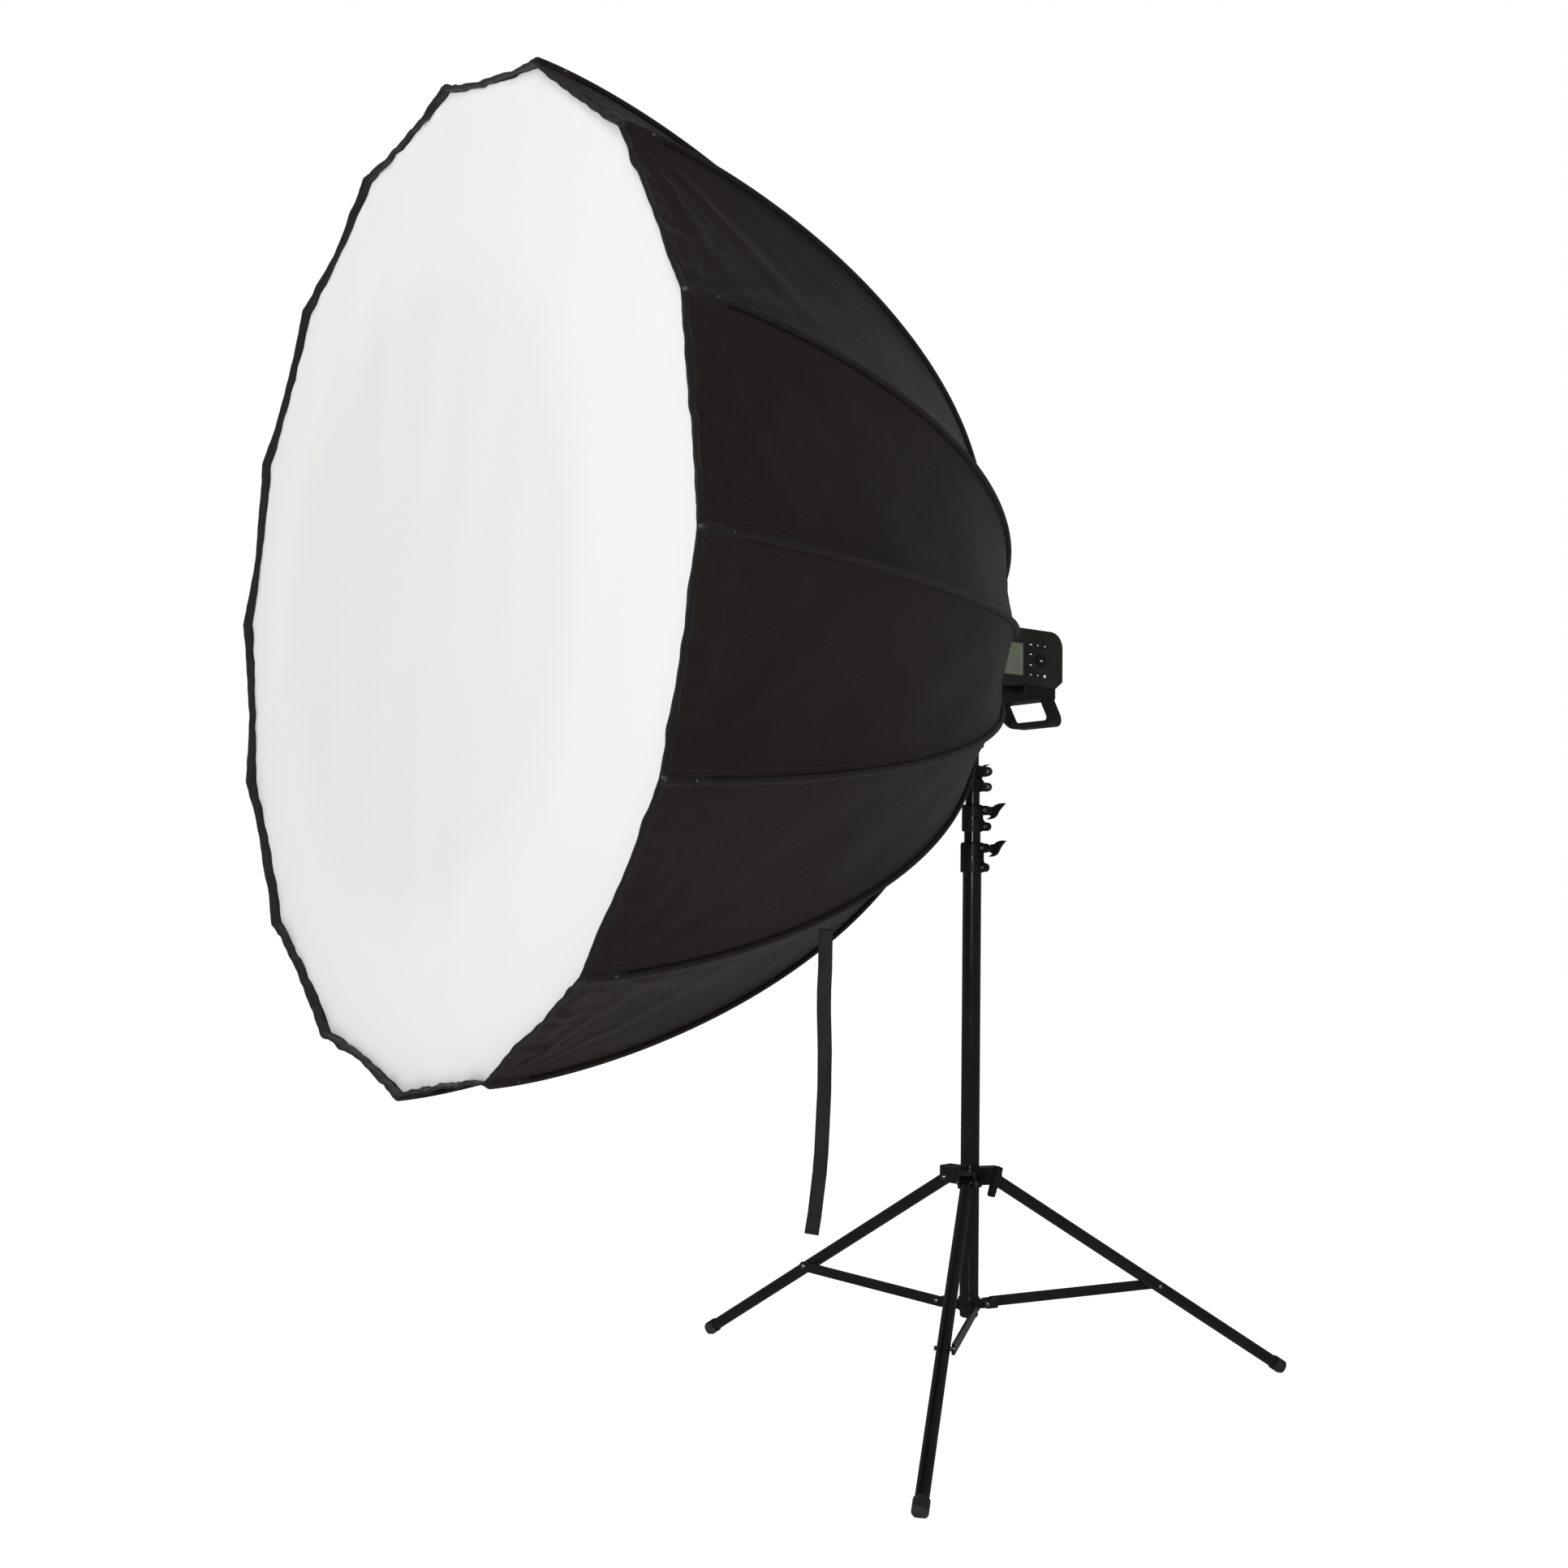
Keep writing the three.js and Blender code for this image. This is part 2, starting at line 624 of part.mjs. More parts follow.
// a flat many-cornered or round sheet across the axis
function crossSheet(radius, depth, sides) {
  const sheet = cylinder('y', radius, [mouthY + depth, mouthY + depth + fabricThickness], [0, 0], sides);
  return sheet.rotate([0, firstRodAngle, 0]).translate([0, 0, axisHeight]);
}

// one bent six-sided rod, drawn in the upright plane above the axis, with its hinge eye and tip
function bentRod() {
  const sides = 6;
  const depths = [4, ...shellDepths().slice(1), hingeDepth];
  const positions = [0, mouthY + depths[0], profileRadius(depths[0]), 0, hingeY, hingeRadius];
  for (const depth of depths) {
    for (let side = 0; side < sides; side += 1) {
      const angle = (side * 2 * Math.PI) / sides;
      const point = profilePoint(depth, rodRadius * Math.cos(angle));
      positions.push(rodRadius * Math.sin(angle), mouthY + point.depth, point.radius);
    }
  }
  const faces = [];
  const corner = (row, side) => 2 + row * sides + (side % sides);
  const lastRow = depths.length - 1;
  for (let side = 0; side < sides; side += 1) {
    faces.push(0, corner(0, side), corner(0, side + 1));
    faces.push(1, corner(lastRow, side + 1), corner(lastRow, side));
    for (let row = 0; row < lastRow; row += 1) {
      faces.push(corner(row, side), corner(row + 1, side), corner(row, side + 1));
      faces.push(corner(row, side + 1), corner(row + 1, side), corner(row + 1, side + 1));
    }
  }
  const bar = new THREE.BufferGeometry();
  bar.setAttribute('position', new THREE.BufferAttribute(new Float32Array(positions), 3));
  bar.setIndex(faces);
  const eye = cylinder('x', 5, [-3, 3], [hingeY, hingeRadius], 12);
  const tip = new THREE.SphereGeometry(3.6, 8, 6);
  tip.translate(0, mouthY + 5, profileRadius(5));
  return joined(solidOf(bar), eye, solidOf(tip));
}

// hub plate that the rods hinge in, with a slot for each
function speedring() {
  let ring = pipe(ringOuter, ringInner, ringFront, ringBack, 48).rotate([-90, 0, 0]);
  for (let rod = 0; rod < rodCount; rod += 1) {
    const angle = firstRodAngle + (rod * 360) / rodCount;
    const slot = box([-3.8, 3.8], [ringFront - 1, hingeY + 6.5], [hingeRadius - 7, ringOuter + 5]);
    ring = ring.subtract(slot.rotate([0, angle, 0]));
  }
  return ring;
}

// tie strap sewn to the shell at one rod: it hangs down, and drifts sideways towards its end
function tieStrap() {
  const stops = strapRoute.map(([side, down]) => new THREE.Vector3(side, 0, -down));
  const path = new THREE.CatmullRomCurve3(stops);
  const [thick, wide] = [0.8, strapWidth / 2];
  const corners = [
    [thick, wide - 0.5], [thick - 0.4, wide], [0.4 - thick, wide], [-thick, wide - 0.5],
    [-thick, 0.5 - wide], [0.4 - thick, -wide], [thick - 0.4, -wide], [thick, 0.5 - wide],
  ];
  const section = new THREE.Shape(corners.map(([a, b]) => new THREE.Vector2(a, b)));
  const strap = new THREE.ExtrudeGeometry(section, { steps: 30, bevelEnabled: false, extrudePath: path });
  strap.rotateZ(radians(strapTurn));
  const angle = radians(firstRodAngle + ((strapRod - 1) * 360) / rodCount);
  const radius = profileRadius(strapDepth) + rodRadius + 3;
  const top = axisHeight + radius * Math.cos(angle) - 6;
  return solidOf(strap).translate([radius * Math.sin(angle) + 4, mouthY + strapDepth + 5, top]);
}

function addSoftbox() {
  const onAxis = new THREE.Group();
  onAxis.position.z = axisHeight;
  object.add(onAxis);
  addMesh('speedring', speedring(), blackMetal, onAxis);
  addMesh('shell_fabric', shellFabric(), blackCloth);
  const diffuser = crossSheet(profileRadius(diffuserDepth) - 8, diffuserDepth, rodCount);
  addMesh('front_diffuser', diffuser, whiteCloth);
  addMesh('inner_baffle', crossSheet(baffleRadius, baffleDepth, 32), whiteCloth);
  addMesh('tie_strap', tieStrap(), blackCloth);
  for (let rod = 1; rod <= rodCount; rod += 1) {
    const arm = new THREE.Group();
    arm.rotation.y = radians(firstRodAngle + ((rod - 1) * 360) / rodCount);
    onAxis.add(arm);
    addMesh(`rod_${String(rod).padStart(2, '0')}`, bentRod(), rodPlastic, arm);
  }
}

addColumn();
addLegs();
addBracket();
addHead();
addSoftbox();

// stand the object's box over the origin
const bounds = new THREE.Box3();
object.updateMatrixWorld(true);
object.children.forEach((child) => bounds.expandByObject(child, true));
object.position.set(-(bounds.min.x + bounds.max.x) / 2, -(bounds.min.y + bounds.max.y) / 2, 0);

export default object;
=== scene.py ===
"""Looks for a sixteen-rod deep softbox on a battery flash head and a folding light stand.

Metres, +Z up, the softbox opens towards -Y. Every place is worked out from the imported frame.
"""

import math

import bpy
import numpy as np
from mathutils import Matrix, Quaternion, Vector


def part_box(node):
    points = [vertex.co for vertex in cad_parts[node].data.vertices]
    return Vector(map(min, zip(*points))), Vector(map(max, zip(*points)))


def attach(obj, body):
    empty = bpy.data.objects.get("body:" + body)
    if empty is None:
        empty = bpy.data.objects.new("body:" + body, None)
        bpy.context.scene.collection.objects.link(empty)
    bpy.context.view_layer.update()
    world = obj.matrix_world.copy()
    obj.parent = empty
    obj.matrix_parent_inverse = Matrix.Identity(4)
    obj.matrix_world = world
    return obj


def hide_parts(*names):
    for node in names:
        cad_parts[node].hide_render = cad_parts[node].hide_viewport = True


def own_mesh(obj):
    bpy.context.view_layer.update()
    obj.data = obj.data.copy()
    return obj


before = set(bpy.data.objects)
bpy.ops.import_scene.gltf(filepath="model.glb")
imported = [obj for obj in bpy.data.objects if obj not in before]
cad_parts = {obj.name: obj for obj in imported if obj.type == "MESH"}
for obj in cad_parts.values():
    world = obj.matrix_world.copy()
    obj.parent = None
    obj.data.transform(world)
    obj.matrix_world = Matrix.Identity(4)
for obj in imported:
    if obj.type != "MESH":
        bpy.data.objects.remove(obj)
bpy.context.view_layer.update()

MM = 0.001


def middle(node):
    """The middle of a CAD node's box."""
    low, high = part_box(node)
    return (low + high) / 2


# ---- places and sizes ----

STAND = Vector((middle("bottom_tube").x, middle("bottom_tube").y, 0))
AXIS = Vector((middle("speedring").x, 0, middle("speedring").z))
MOUTH_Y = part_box("shell_fabric")[0].y
ROD_COUNT = 16
FIRST_ROD_ANGLE = math.radians(2.6)
HALF_PANEL = math.pi / ROD_COUNT
MOUTH_RADIUS = 0.750
SHELL_DEPTH = 1.030
SHELL_EXPONENT = 1.54
FABRIC_END_RADIUS = 0.118
CLOTH_INSET = 3.4 * MM
DIFFUSER_DEPTH = 16 * MM
BAFFLE_Y = middle("inner_baffle").y
BAFFLE_RADIUS = 0.5
POCKET_LENGTH = 66 * MM
HEM_LINE = 60 * MM
STRAP_ROD = 7
STRAP_WIDTH = 20 * MM
LEG_AZIMUTHS = [191.5, 311.5, 71.5]
LEG_PIVOT = (0.048, 0.3846)
FOOT_END = (0.6515, 0.0081)
BRACE_PIVOT = (0.036, 0.1607)
BRACE_SHARE = 0.555
CLAMP_AZIMUTHS = (12.5, 27.5, 55.5)
CLAMP_REACH = 27 * MM
FOLD_BANDS = (0, 0.3, 0.52, 0.7, 0.84, 0.94, 1)  # where each panel is divided, in shares of its length
LINING_LIFT = -5.5 * MM
PUCKER_HEIGHT = 1.0 * MM
FAN_HEIGHT = 2.6 * MM
PLEAT_HEIGHT = 2.2 * MM
WAVE_HEIGHT = 2.2 * MM
RIM_WANDER = 0.45 * MM
BINDING_LOOP = (  # (distance from the front edge, height above the cloth) round the tape, in millimetres
    (7, 0.6), (5.5, 1.3), (2, 1.8), (-0.5, 1.6), (-1.8, 0.6),
    (-1.8, -1.2), (-0.5, -2.4), (4, -3.1), (13, -2.6), (16, -1.6),
)
BRACE_FACES = (13.6, 18.6)  # millimetres sideways from the leg's middle line
FORK_CHEEK = 4.0
CAMERA_LENS = 40.18
CAMERA_PLACE = Vector((2.3779, STAND.y - 2.1814, 0.8755))
CAMERA_HEADING = Vector((-0.80338, 0.59150, 0.06865))
CAMERA_ROLL = math.radians(0.849)
SKY_LIGHT = 0.3
SKY_IN_REFLECTIONS = 0.07
HEAD_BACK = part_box("head_housing")[1].y
HEAD_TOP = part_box("head_housing")[1].z

rng = np.random.default_rng(16)


# ---- shader graphs ----


class Graph:
    """A material's node graph, with one line for each step."""

    def __init__(self, name, color, roughness, metallic=0.0, **sockets):
        self.material = bpy.data.materials.new(name)
        self.material.use_nodes = True
        self.tree = self.material.node_tree
        self.shader = self.tree.nodes["Principled BSDF"]
        self.set("Base Color", (*color, 1))
        self.set("Roughness", roughness)
        self.set("Metallic", metallic)
        for socket, value in sockets.items():
            self.set(socket.replace("_", " "), value)

    def set(self, socket, value):
        if isinstance(value, bpy.types.NodeSocket):
            self.tree.links.new(value, self.shader.inputs[socket])
        else:
            self.shader.inputs[socket].default_value = value

    def node(self, kind, inputs=None, **settings):
        made = self.tree.nodes.new("ShaderNode" + kind)
        for key, value in settings.items():
            setattr(made, key, value)
        for key, value in (inputs or {}).items():
            if isinstance(value, bpy.types.NodeSocket):
                self.tree.links.new(value, made.inputs[key])
            else:
                made.inputs[key].default_value = value
        return made

    def place(self, scale=(1, 1, 1)):
        """Object coordinates, stretched."""
        source = self.node("TexCoord").outputs["Object"]
        return self.node("Mapping", {"Vector": source, "Scale": scale}).outputs["Vector"]

    def cloth_place(self):
        """(across, along) on the cloth, in metres."""
        source = self.node("UVMap", uv_map="cloth").outputs["UV"]
        parts = self.node("SeparateXYZ", {"Vector": source})
        return source, parts.outputs["X"], parts.outputs["Y"]

    def noise(self, scale, detail=3.0, roughness=0.5, vector=None):
        vector = vector or self.place()
        inputs = {"Vector": vector, "Scale": scale, "Detail": detail, "Roughness": roughness}
        return self.node("TexNoise", inputs).outputs["Fac"]

    def math(self, operation, a, b=0.0, clamp=False):
        made = self.node("Math", {0: a, 1: b}, operation=operation)
        made.use_clamp = clamp
        return made.outputs["Value"]

    def ramp(self, factor, low, high, color_low, color_high):
        """A colour that goes from one to another as factor goes from low to high."""
        made = self.node("ValToRGB", {"Fac": factor})
        made.color_ramp.elements[0].position = low
        made.color_ramp.elements[1].position = high
        made.color_ramp.elements[0].color = (*color_low, 1)
        made.color_ramp.elements[1].color = (*color_high, 1)
        return made.outputs["Color"]

    def blend(self, factor, a, b):
        made = self.node("Mix", data_type="RGBA")
        for index, value in ((0, factor), (6, a), (7, b)):
            if isinstance(value, bpy.types.NodeSocket):
                self.tree.links.new(value, made.inputs[index])
            else:
                made.inputs[index].default_value = value if index == 0 else (*value, 1)
        return made.outputs[2]

    def range(self, value, low, high, to_low, to_high):
        inputs = {"Value": value, 1: low, 2: high, 3: to_low, 4: to_high}
        return self.node("MapRange", inputs).outputs["Result"]

    def bump(self, height, distance, strength=1.0, under=None):
        inputs = {"Height": height, "Distance": distance, "Strength": strength}
        if under is not None:
            inputs["Normal"] = under
        return self.node("Bump", inputs).outputs["Normal"]


def shade(value):
    """Grey."""
    return (value, value, value)


def weave(graph, vector, thread):
    """Height of a plain weave with threads of this width."""
    waves = []
    for direction in ("X", "Y"):
        inputs = {"Vector": vector, "Scale": 1 / (thread * 6.3), "Distortion": 0.4, "Detail": 1.0}
        waves.append(graph.node("TexWave", inputs, bands_direction=direction).outputs["Fac"])
    return graph.math("MULTIPLY", waves[0], waves[1])


def stitches(graph, across, along, pitch=4 * MM, thread=0.9 * MM):
    """1 on the dashes of a seam that lies where across is 0."""
    near = graph.math("LESS_THAN", graph.math("ABSOLUTE", across), thread / 2)
    turn = graph.math("FRACT", graph.math("DIVIDE", along, pitch))
    return graph.math("MULTIPLY", near, graph.math("LESS_THAN", turn, 0.68))


def shell_cloth():
    """Black-brown satin nylon: warm, smooth, with a sheen that breaks up over fine creases."""
    graph = Graph("shell_satin_nylon", (0.0125, 0.0105, 0.0095), 0.46, Specular_IOR_Level=0.34)
    source, across, along = graph.cloth_place()
    cloud = graph.noise(5.0, 4.0, 0.55)
    tint = graph.ramp(cloud, 0.3, 0.75, (0.0095, 0.0071, 0.0062), (0.0132, 0.0102, 0.0089))
    seams = []
    for inset in (7 * MM, 11 * MM):
        from_rod = graph.math("SUBTRACT", graph.math("ABSOLUTE", across), inset)
        seams.append(stitches(graph, from_rod, along))
    seams.append(stitches(graph, graph.math("SUBTRACT", along, HEM_LINE), across))
    thread = graph.math("MAXIMUM", graph.math("MAXIMUM", seams[0], seams[1]), seams[2])
    graph.set("Base Color", graph.blend(thread, tint, (0.02, 0.018, 0.016)))
    graph.set("Roughness", graph.range(graph.noise(14.0, 3.0), 0.3, 0.7, 0.32, 0.44))
    stretched = graph.node("Mapping", {"Vector": source, "Scale": (32, 9, 1)}).outputs["Vector"]
    crease = graph.noise(1.0, 5.0, 0.62, stretched)
    normal = graph.bump(crease, 2.6 * MM, 0.65)
    normal = graph.bump(weave(graph, source, 0.45 * MM), 0.06 * MM, 0.35, normal)
    normal = graph.bump(thread, 0.5 * MM, 0.8, normal)
    graph.set("Normal", normal)
    graph.set("Sheen Weight", 0.04)
    graph.set("Sheen Roughness", 0.4)
    return graph.material


def sleeve_cloth():
    """The same black-brown cloth pulled tight over each rod."""
    graph = Graph("sleeve_cloth", (0.0105, 0.0088, 0.0078), 0.42, Specular_IOR_Level=0.4)
    source, across, along = graph.cloth_place()
    dark, light = (0.0075, 0.0062, 0.0054), (0.0115, 0.0098, 0.0085)
    graph.set("Base Color", graph.ramp(graph.noise(40.0), 0.3, 0.7, dark, light))
    stretched = graph.node("Mapping", {"Vector": source, "Scale": (50, 22, 1)}).outputs["Vector"]
    normal = graph.bump(graph.noise(1.0, 3.0, 0.5, stretched), 0.5 * MM, 0.35)
    graph.set("Normal", graph.bump(weave(graph, source, 0.45 * MM), 0.06 * MM, 0.35, normal))
    graph.set("Sheen Weight", 0.04)
    return graph.material


def webbing(name, color, rib=1.3 * MM):
    """Ribbed woven tape, with painted shade in the grooves between the ribs."""
    graph = Graph(name, color, 0.6, Specular_IOR_Level=0.3)
    source, across, along = graph.cloth_place()
    inputs = {"Vector": source, "Scale": 1 / (rib * 6.3), "Distortion": 0.3}
    ribs = graph.node("TexWave", inputs, bands_direction="Y").outputs["Fac"]
    finer = {**inputs, "Scale": 1 / (rib * 3.2)}
    threads = graph.node("TexWave", finer, bands_direction="DIAGONAL").outputs["Fac"]
    height = graph.math("ADD", ribs, graph.math("MULTIPLY", threads, 0.5))
    graph.set("Normal", graph.bump(height, 0.25 * MM, 0.8))
    # painted shade: the colour darkens to 0.6 in the low parts of the ribs
    dark = tuple(part * 0.6 for part in color)
    graph.set("Base Color", graph.ramp(height, 0.2, 1.1, dark, color))
    graph.set("Sheen Weight", 0.05)
    return graph.material


def diffuser_cloth():
    """White diffusion cloth, a little greyer over its middle where the inner baffle shadows it."""
    graph = Graph("white_diffusion_cloth", shade(0.86), 0.85, Specular_IOR_Level=0.25)
    spot = graph.node("Mapping", {"Vector": graph.place(), "Location": (0.05, 0, -AXIS.z)}).outputs[0]
    flat = graph.node("VectorMath", {0: spot, 1: (1, 0, 1)}, operation="MULTIPLY").outputs[0]
    length = graph.node("VectorMath", {0: flat}, operation="LENGTH").outputs["Value"]
    soft = graph.math("ADD", length, graph.math("MULTIPLY", graph.noise(4.0), 0.1))
    graded = graph.ramp(soft, 0.48, 0.6, (0.63, 0.633, 0.623), (0.665, 0.66, 0.662))
    graph.set("Base Color", graded)
    folds = graph.noise(1.0, 4.0, 0.55, graph.place((38, 10, 7)))
    normal = graph.bump(folds, 1.5 * MM, 0.35)
    fine = graph.node("TexVoronoi", {"Vector": graph.place(), "Scale": 900.0}).outputs["Distance"]
    graph.set("Normal", graph.bump(fine, 0.1 * MM, 0.2, normal))
    graph.set("Sheen Weight", 0.1)
    return graph.material


def lining_cloth():
    """Silver lining with a fine dimpled face."""
    graph = Graph("silver_lining_cloth", (0.62, 0.62, 0.64), 0.32, 0.85)
    dimples = graph.node("TexVoronoi", {"Vector": graph.place(), "Scale": 260.0}).outputs["Distance"]
    graph.set("Normal", graph.bump(dimples, 0.5 * MM, 0.5))
    graph.set("Roughness", graph.range(graph.noise(20.0), 0.3, 0.7, 0.26, 0.4))
    return graph.material


def coated_metal(name, color=shade(0.006), roughness=0.16, metallic=0.0, coat=0.6):
    """Black coated aluminium: smooth, with faint orange peel, dust and handling marks."""
    graph = Graph(name, color, roughness, metallic, Coat_Weight=coat, Coat_Roughness=0.08)
    graph.set("Specular IOR Level", 0.55)
    marks = graph.noise(9.0, 5.0, 0.65)
    lighter = tuple(part * 1.7 + 0.001 for part in color)
    graph.set("Base Color", graph.ramp(marks, 0.45, 0.8, color, lighter))
    graph.set("Roughness", graph.range(graph.noise(34.0, 4.0), 0.3, 0.75, roughness - 0.04, roughness + 0.05))
    normal = graph.bump(graph.noise(900.0, 1.0), 0.05 * MM, 0.25)
    graph.set("Normal", normal)
    return graph.material


def moulded_plastic(name, color, roughness=0.5, grain=0.35):
    """Moulded plastic with a fine spark-eroded grain and slightly polished high spots."""
    graph = Graph(name, color, roughness, Specular_IOR_Level=0.45)
    lighter = tuple(part * 1.5 + 0.002 for part in color)
    graph.set("Base Color", graph.ramp(graph.noise(14.0, 5.0, 0.6), 0.4, 0.8, color, lighter))
    graph.set("Roughness", graph.range(graph.noise(60.0, 3.0), 0.3, 0.7, roughness - 0.08, roughness + 0.08))
    grains = graph.noise(1500.0, 2.0, 0.6)
    graph.set("Normal", graph.bump(grains, 0.12 * MM, grain))
    return graph.material


def rubber():
    graph = Graph("foot_rubber", shade(0.018), 0.75, Specular_IOR_Level=0.3)
    graph.set("Base Color", graph.ramp(graph.noise(50.0, 4.0), 0.35, 0.75, shade(0.013), shade(0.035)))
    graph.set("Normal", graph.bump(graph.noise(400.0, 3.0), 0.2 * MM, 0.5))
    return graph.material


def bright_steel():
    graph = Graph("rivet_steel", (0.62, 0.61, 0.59), 0.24, 1.0)
    graph.set("Roughness", graph.range(graph.noise(300.0, 3.0), 0.3, 0.7, 0.18, 0.36))
    graph.set("Normal", graph.bump(graph.noise(700.0, 2.0), 0.05 * MM, 0.3))
    return graph.material


def fibreglass():
    graph = Graph("rod_fibreglass", shade(0.012), 0.3, Specular_IOR_Level=0.5)
    strands = graph.noise(1.0, 2.0, 0.5, graph.place((900, 30, 900)))
    graph.set("Base Color", graph.ramp(strands, 0.3, 0.7, shade(0.008), shade(0.022)))
    graph.set("Normal", graph.bump(strands, 0.1 * MM, 0.3))
    return graph.material


def screen_glass():
    """Green-grey liquid crystal behind a clear window."""
    graph = Graph("screen_liquid_crystal", (0.13, 0.14, 0.105), 0.3, Coat_Weight=0.4, Coat_Roughness=0.1)
    rows = graph.noise(30.0, 2.0)
    graph.set("Base Color", graph.ramp(rows, 0.3, 0.7, (0.11, 0.125, 0.09), (0.155, 0.17, 0.13)))
    return graph.material


def printed_ink():
    graph = Graph("printed_marks", shade(0.85), 0.45)
    graph.set("Base Color", graph.ramp(graph.noise(400.0), 0.3, 0.7, shade(0.76), shade(0.9)))
    return graph.material


def lamp_glass():
    graph = Graph("frosted_lamp_glass", (0.82, 0.80, 0.74), 0.28, Coat_Weight=0.5)
    graph.set("Base Color", graph.ramp(graph.noise(30.0), 0.3, 0.7, (0.78, 0.75, 0.68), (0.88, 0.87, 0.83)))
    return graph.material


MATERIALS = {
    "shell": shell_cloth(),
    "sleeve": sleeve_cloth(),
    "binding": webbing("rim_binding_tape", (0.008, 0.007, 0.0065)),
    "strap": webbing("tie_strap_webbing", shade(0.009)),
    "diffuser": diffuser_cloth(),
    "lining": lining_cloth(),
    "tube": coated_metal("stand_tube_coating"),
    "casting": moulded_plastic("stand_casting_plastic", shade(0.006), 0.33, 0.25),
    "bracket": coated_metal("bracket_coating", shade(0.006), 0.34, 0.0, 0.1),
    "head": moulded_plastic("head_moulded_plastic", (0.0115, 0.0115, 0.0098), 0.48),
    "trim": moulded_plastic("head_trim_plastic", shade(0.006), 0.4, 0.2),
    "key": moulded_plastic("key_plastic", shade(0.008), 0.42, 0.2),
    "rubber": rubber(),
    "steel": bright_steel(),
    "rod": fibreglass(),
    "screen": screen_glass(),
    "ink": printed_ink(),
    "lamp": lamp_glass(),
}


# ---- mesh helpers ----


def new_piece(name, points, faces, material, uvs=None, smooth=True):
    """A mesh object from points and faces; uvs holds one (across, along) in metres for each point."""
    mesh = bpy.data.meshes.new(name)
    mesh.from_pydata([tuple(point) for point in points], [], faces)
    mesh.materials.append(MATERIALS[material])
    if uvs is not None:
        layer = mesh.uv_layers.new(name="cloth")
        corners = np.zeros(len(mesh.loops), np.int32)
        mesh.loops.foreach_get("vertex_index", corners)
        layer.data.foreach_set("uv", np.asarray(uvs, np.float32)[corners].ravel())
    mesh.polygons.foreach_set("use_smooth", [smooth] * len(mesh.polygons))
    mesh.validate()
    piece = bpy.data.objects.new(name, mesh)
    bpy.context.scene.collection.objects.link(piece)
    return piece


def grid_faces(rows, columns, closed=False, flip=False):
    """Faces of a grid of points that is stored row by row."""
    faces = []
    last = columns if closed else columns - 1
    for row in range(rows - 1):
        for column in range(last):
            after = (column + 1) % columns
            face = (
                row * columns + column,
                row * columns + after,
                (row + 1) * columns + after,
                (row + 1) * columns + column,
            )
            faces.append(face[::-1] if flip else face)
    return faces


def swept(name, path, sideways, section, material, caps=True):
    """A closed section of (across, up) points carried along a path; sideways gives across at each point."""
    path = [Vector(point) for point in path]
    points, uvs, run = [], [], 0.0
    girth = np.cumsum([0] + [math.dist(a, b) for a, b in zip(section, section[1:])])
    for index, point in enumerate(path):
        before, after = path[max(index - 1, 0)], path[min(index + 1, len(path) - 1)]
        forward = (after - before).normalized()
        across = Vector(sideways[index] if isinstance(sideways, list) else sideways)
        across = (across - forward * across.dot(forward)).normalized()
        up = across.cross(forward)
        if index:
            run += (point - path[index - 1]).length
        for corner, (a, b) in enumerate(section):
            points.append(point + across * a + up * b)
            uvs.append((girth[corner], run))
    faces = grid_faces(len(path), len(section), closed=True)
    if caps:
        faces.append(tuple(range(len(section)))[::-1])
        faces.append(tuple(range(len(points) - len(section), len(points))))
    return new_piece(name, points, faces, material, uvs)


def rounded_section(width, height, corner, steps=3):
    """A closed rectangle with round corners, as (across, up) points."""
    outline = []
    for quarter, (sx, sy) in enumerate(((1, 1), (-1, 1), (-1, -1), (1, -1))):
        centre = (sx * (width / 2 - corner), sy * (height / 2 - corner))
        for step in range(steps + 1):
            angle = (quarter + step / steps) * math.pi / 2
            outline.append((centre[0] + corner * math.cos(angle), centre[1] + corner * math.sin(angle)))
    return outline


def round_section(radius, sides=16):
    angles = [2 * math.pi * side / sides for side in range(sides)]
    return [(radius * math.cos(angle), radius * math.sin(angle)) for angle in angles]


def turned(name, profile, centre, axis, material, sides=32):
    """A round piece from (radius, height) points, turned about an axis through centre."""
    turn = Vector((0, 0, 1)).rotation_difference(Vector(axis)).to_matrix()
    points = []
    for radius, height in profile:
        for side in range(sides):
            angle = 2 * math.pi * side / sides
            local = Vector((radius * math.cos(angle), radius * math.sin(angle), height))
            points.append(Vector(centre) + turn @ local)
    faces = grid_faces(len(profile), sides, closed=True)
    faces.append(tuple(range(sides))[::-1])
    faces.append(tuple(range(len(points) - sides, len(points))))
    return new_piece(name, points, faces, material)


# ---- camera ----


def make_camera():
    data = bpy.data.cameras.new("camera")
    data.sensor_width = 36
    data.lens = CAMERA_LENS
    camera = bpy.data.objects.new("camera", data)
    bpy.context.scene.collection.objects.link(camera)
    camera.location = CAMERA_PLACE
    roll = Quaternion((0, 0, 1), CAMERA_ROLL)
    camera.rotation_mode = "QUATERNION"
    camera.rotation_quaternion = CAMERA_HEADING.to_track_quat("-Z", "Y") @ roll
    bpy.context.scene.camera = camera


# ---- the softbox's shape ----


def profile_radius(depth):
    share = np.clip(np.asarray(depth, float) / SHELL_DEPTH, 0, 1)
    return MOUTH_RADIUS * np.sqrt(1 - share**SHELL_EXPONENT)


def depth_at_radius(radius):
    return SHELL_DEPTH * (1 - (radius / MOUTH_RADIUS) ** 2) ** (1 / SHELL_EXPONENT)


def profile_table():
    """Depths, and how far along the curve from the mouth each one is."""
    last = math.asin(depth_at_radius(FABRIC_END_RADIUS) / SHELL_DEPTH)
    depths = SHELL_DEPTH * np.sin(np.linspace(0, last, 2000))
    radii = profile_radius(depths)
    along = np.concatenate(([0], np.cumsum(np.hypot(np.diff(depths), np.diff(radii)))))
    return depths, along


PROFILE_DEPTHS, PROFILE_ALONG = profile_table()
CLOTH_LENGTH = float(PROFILE_ALONG[-1])


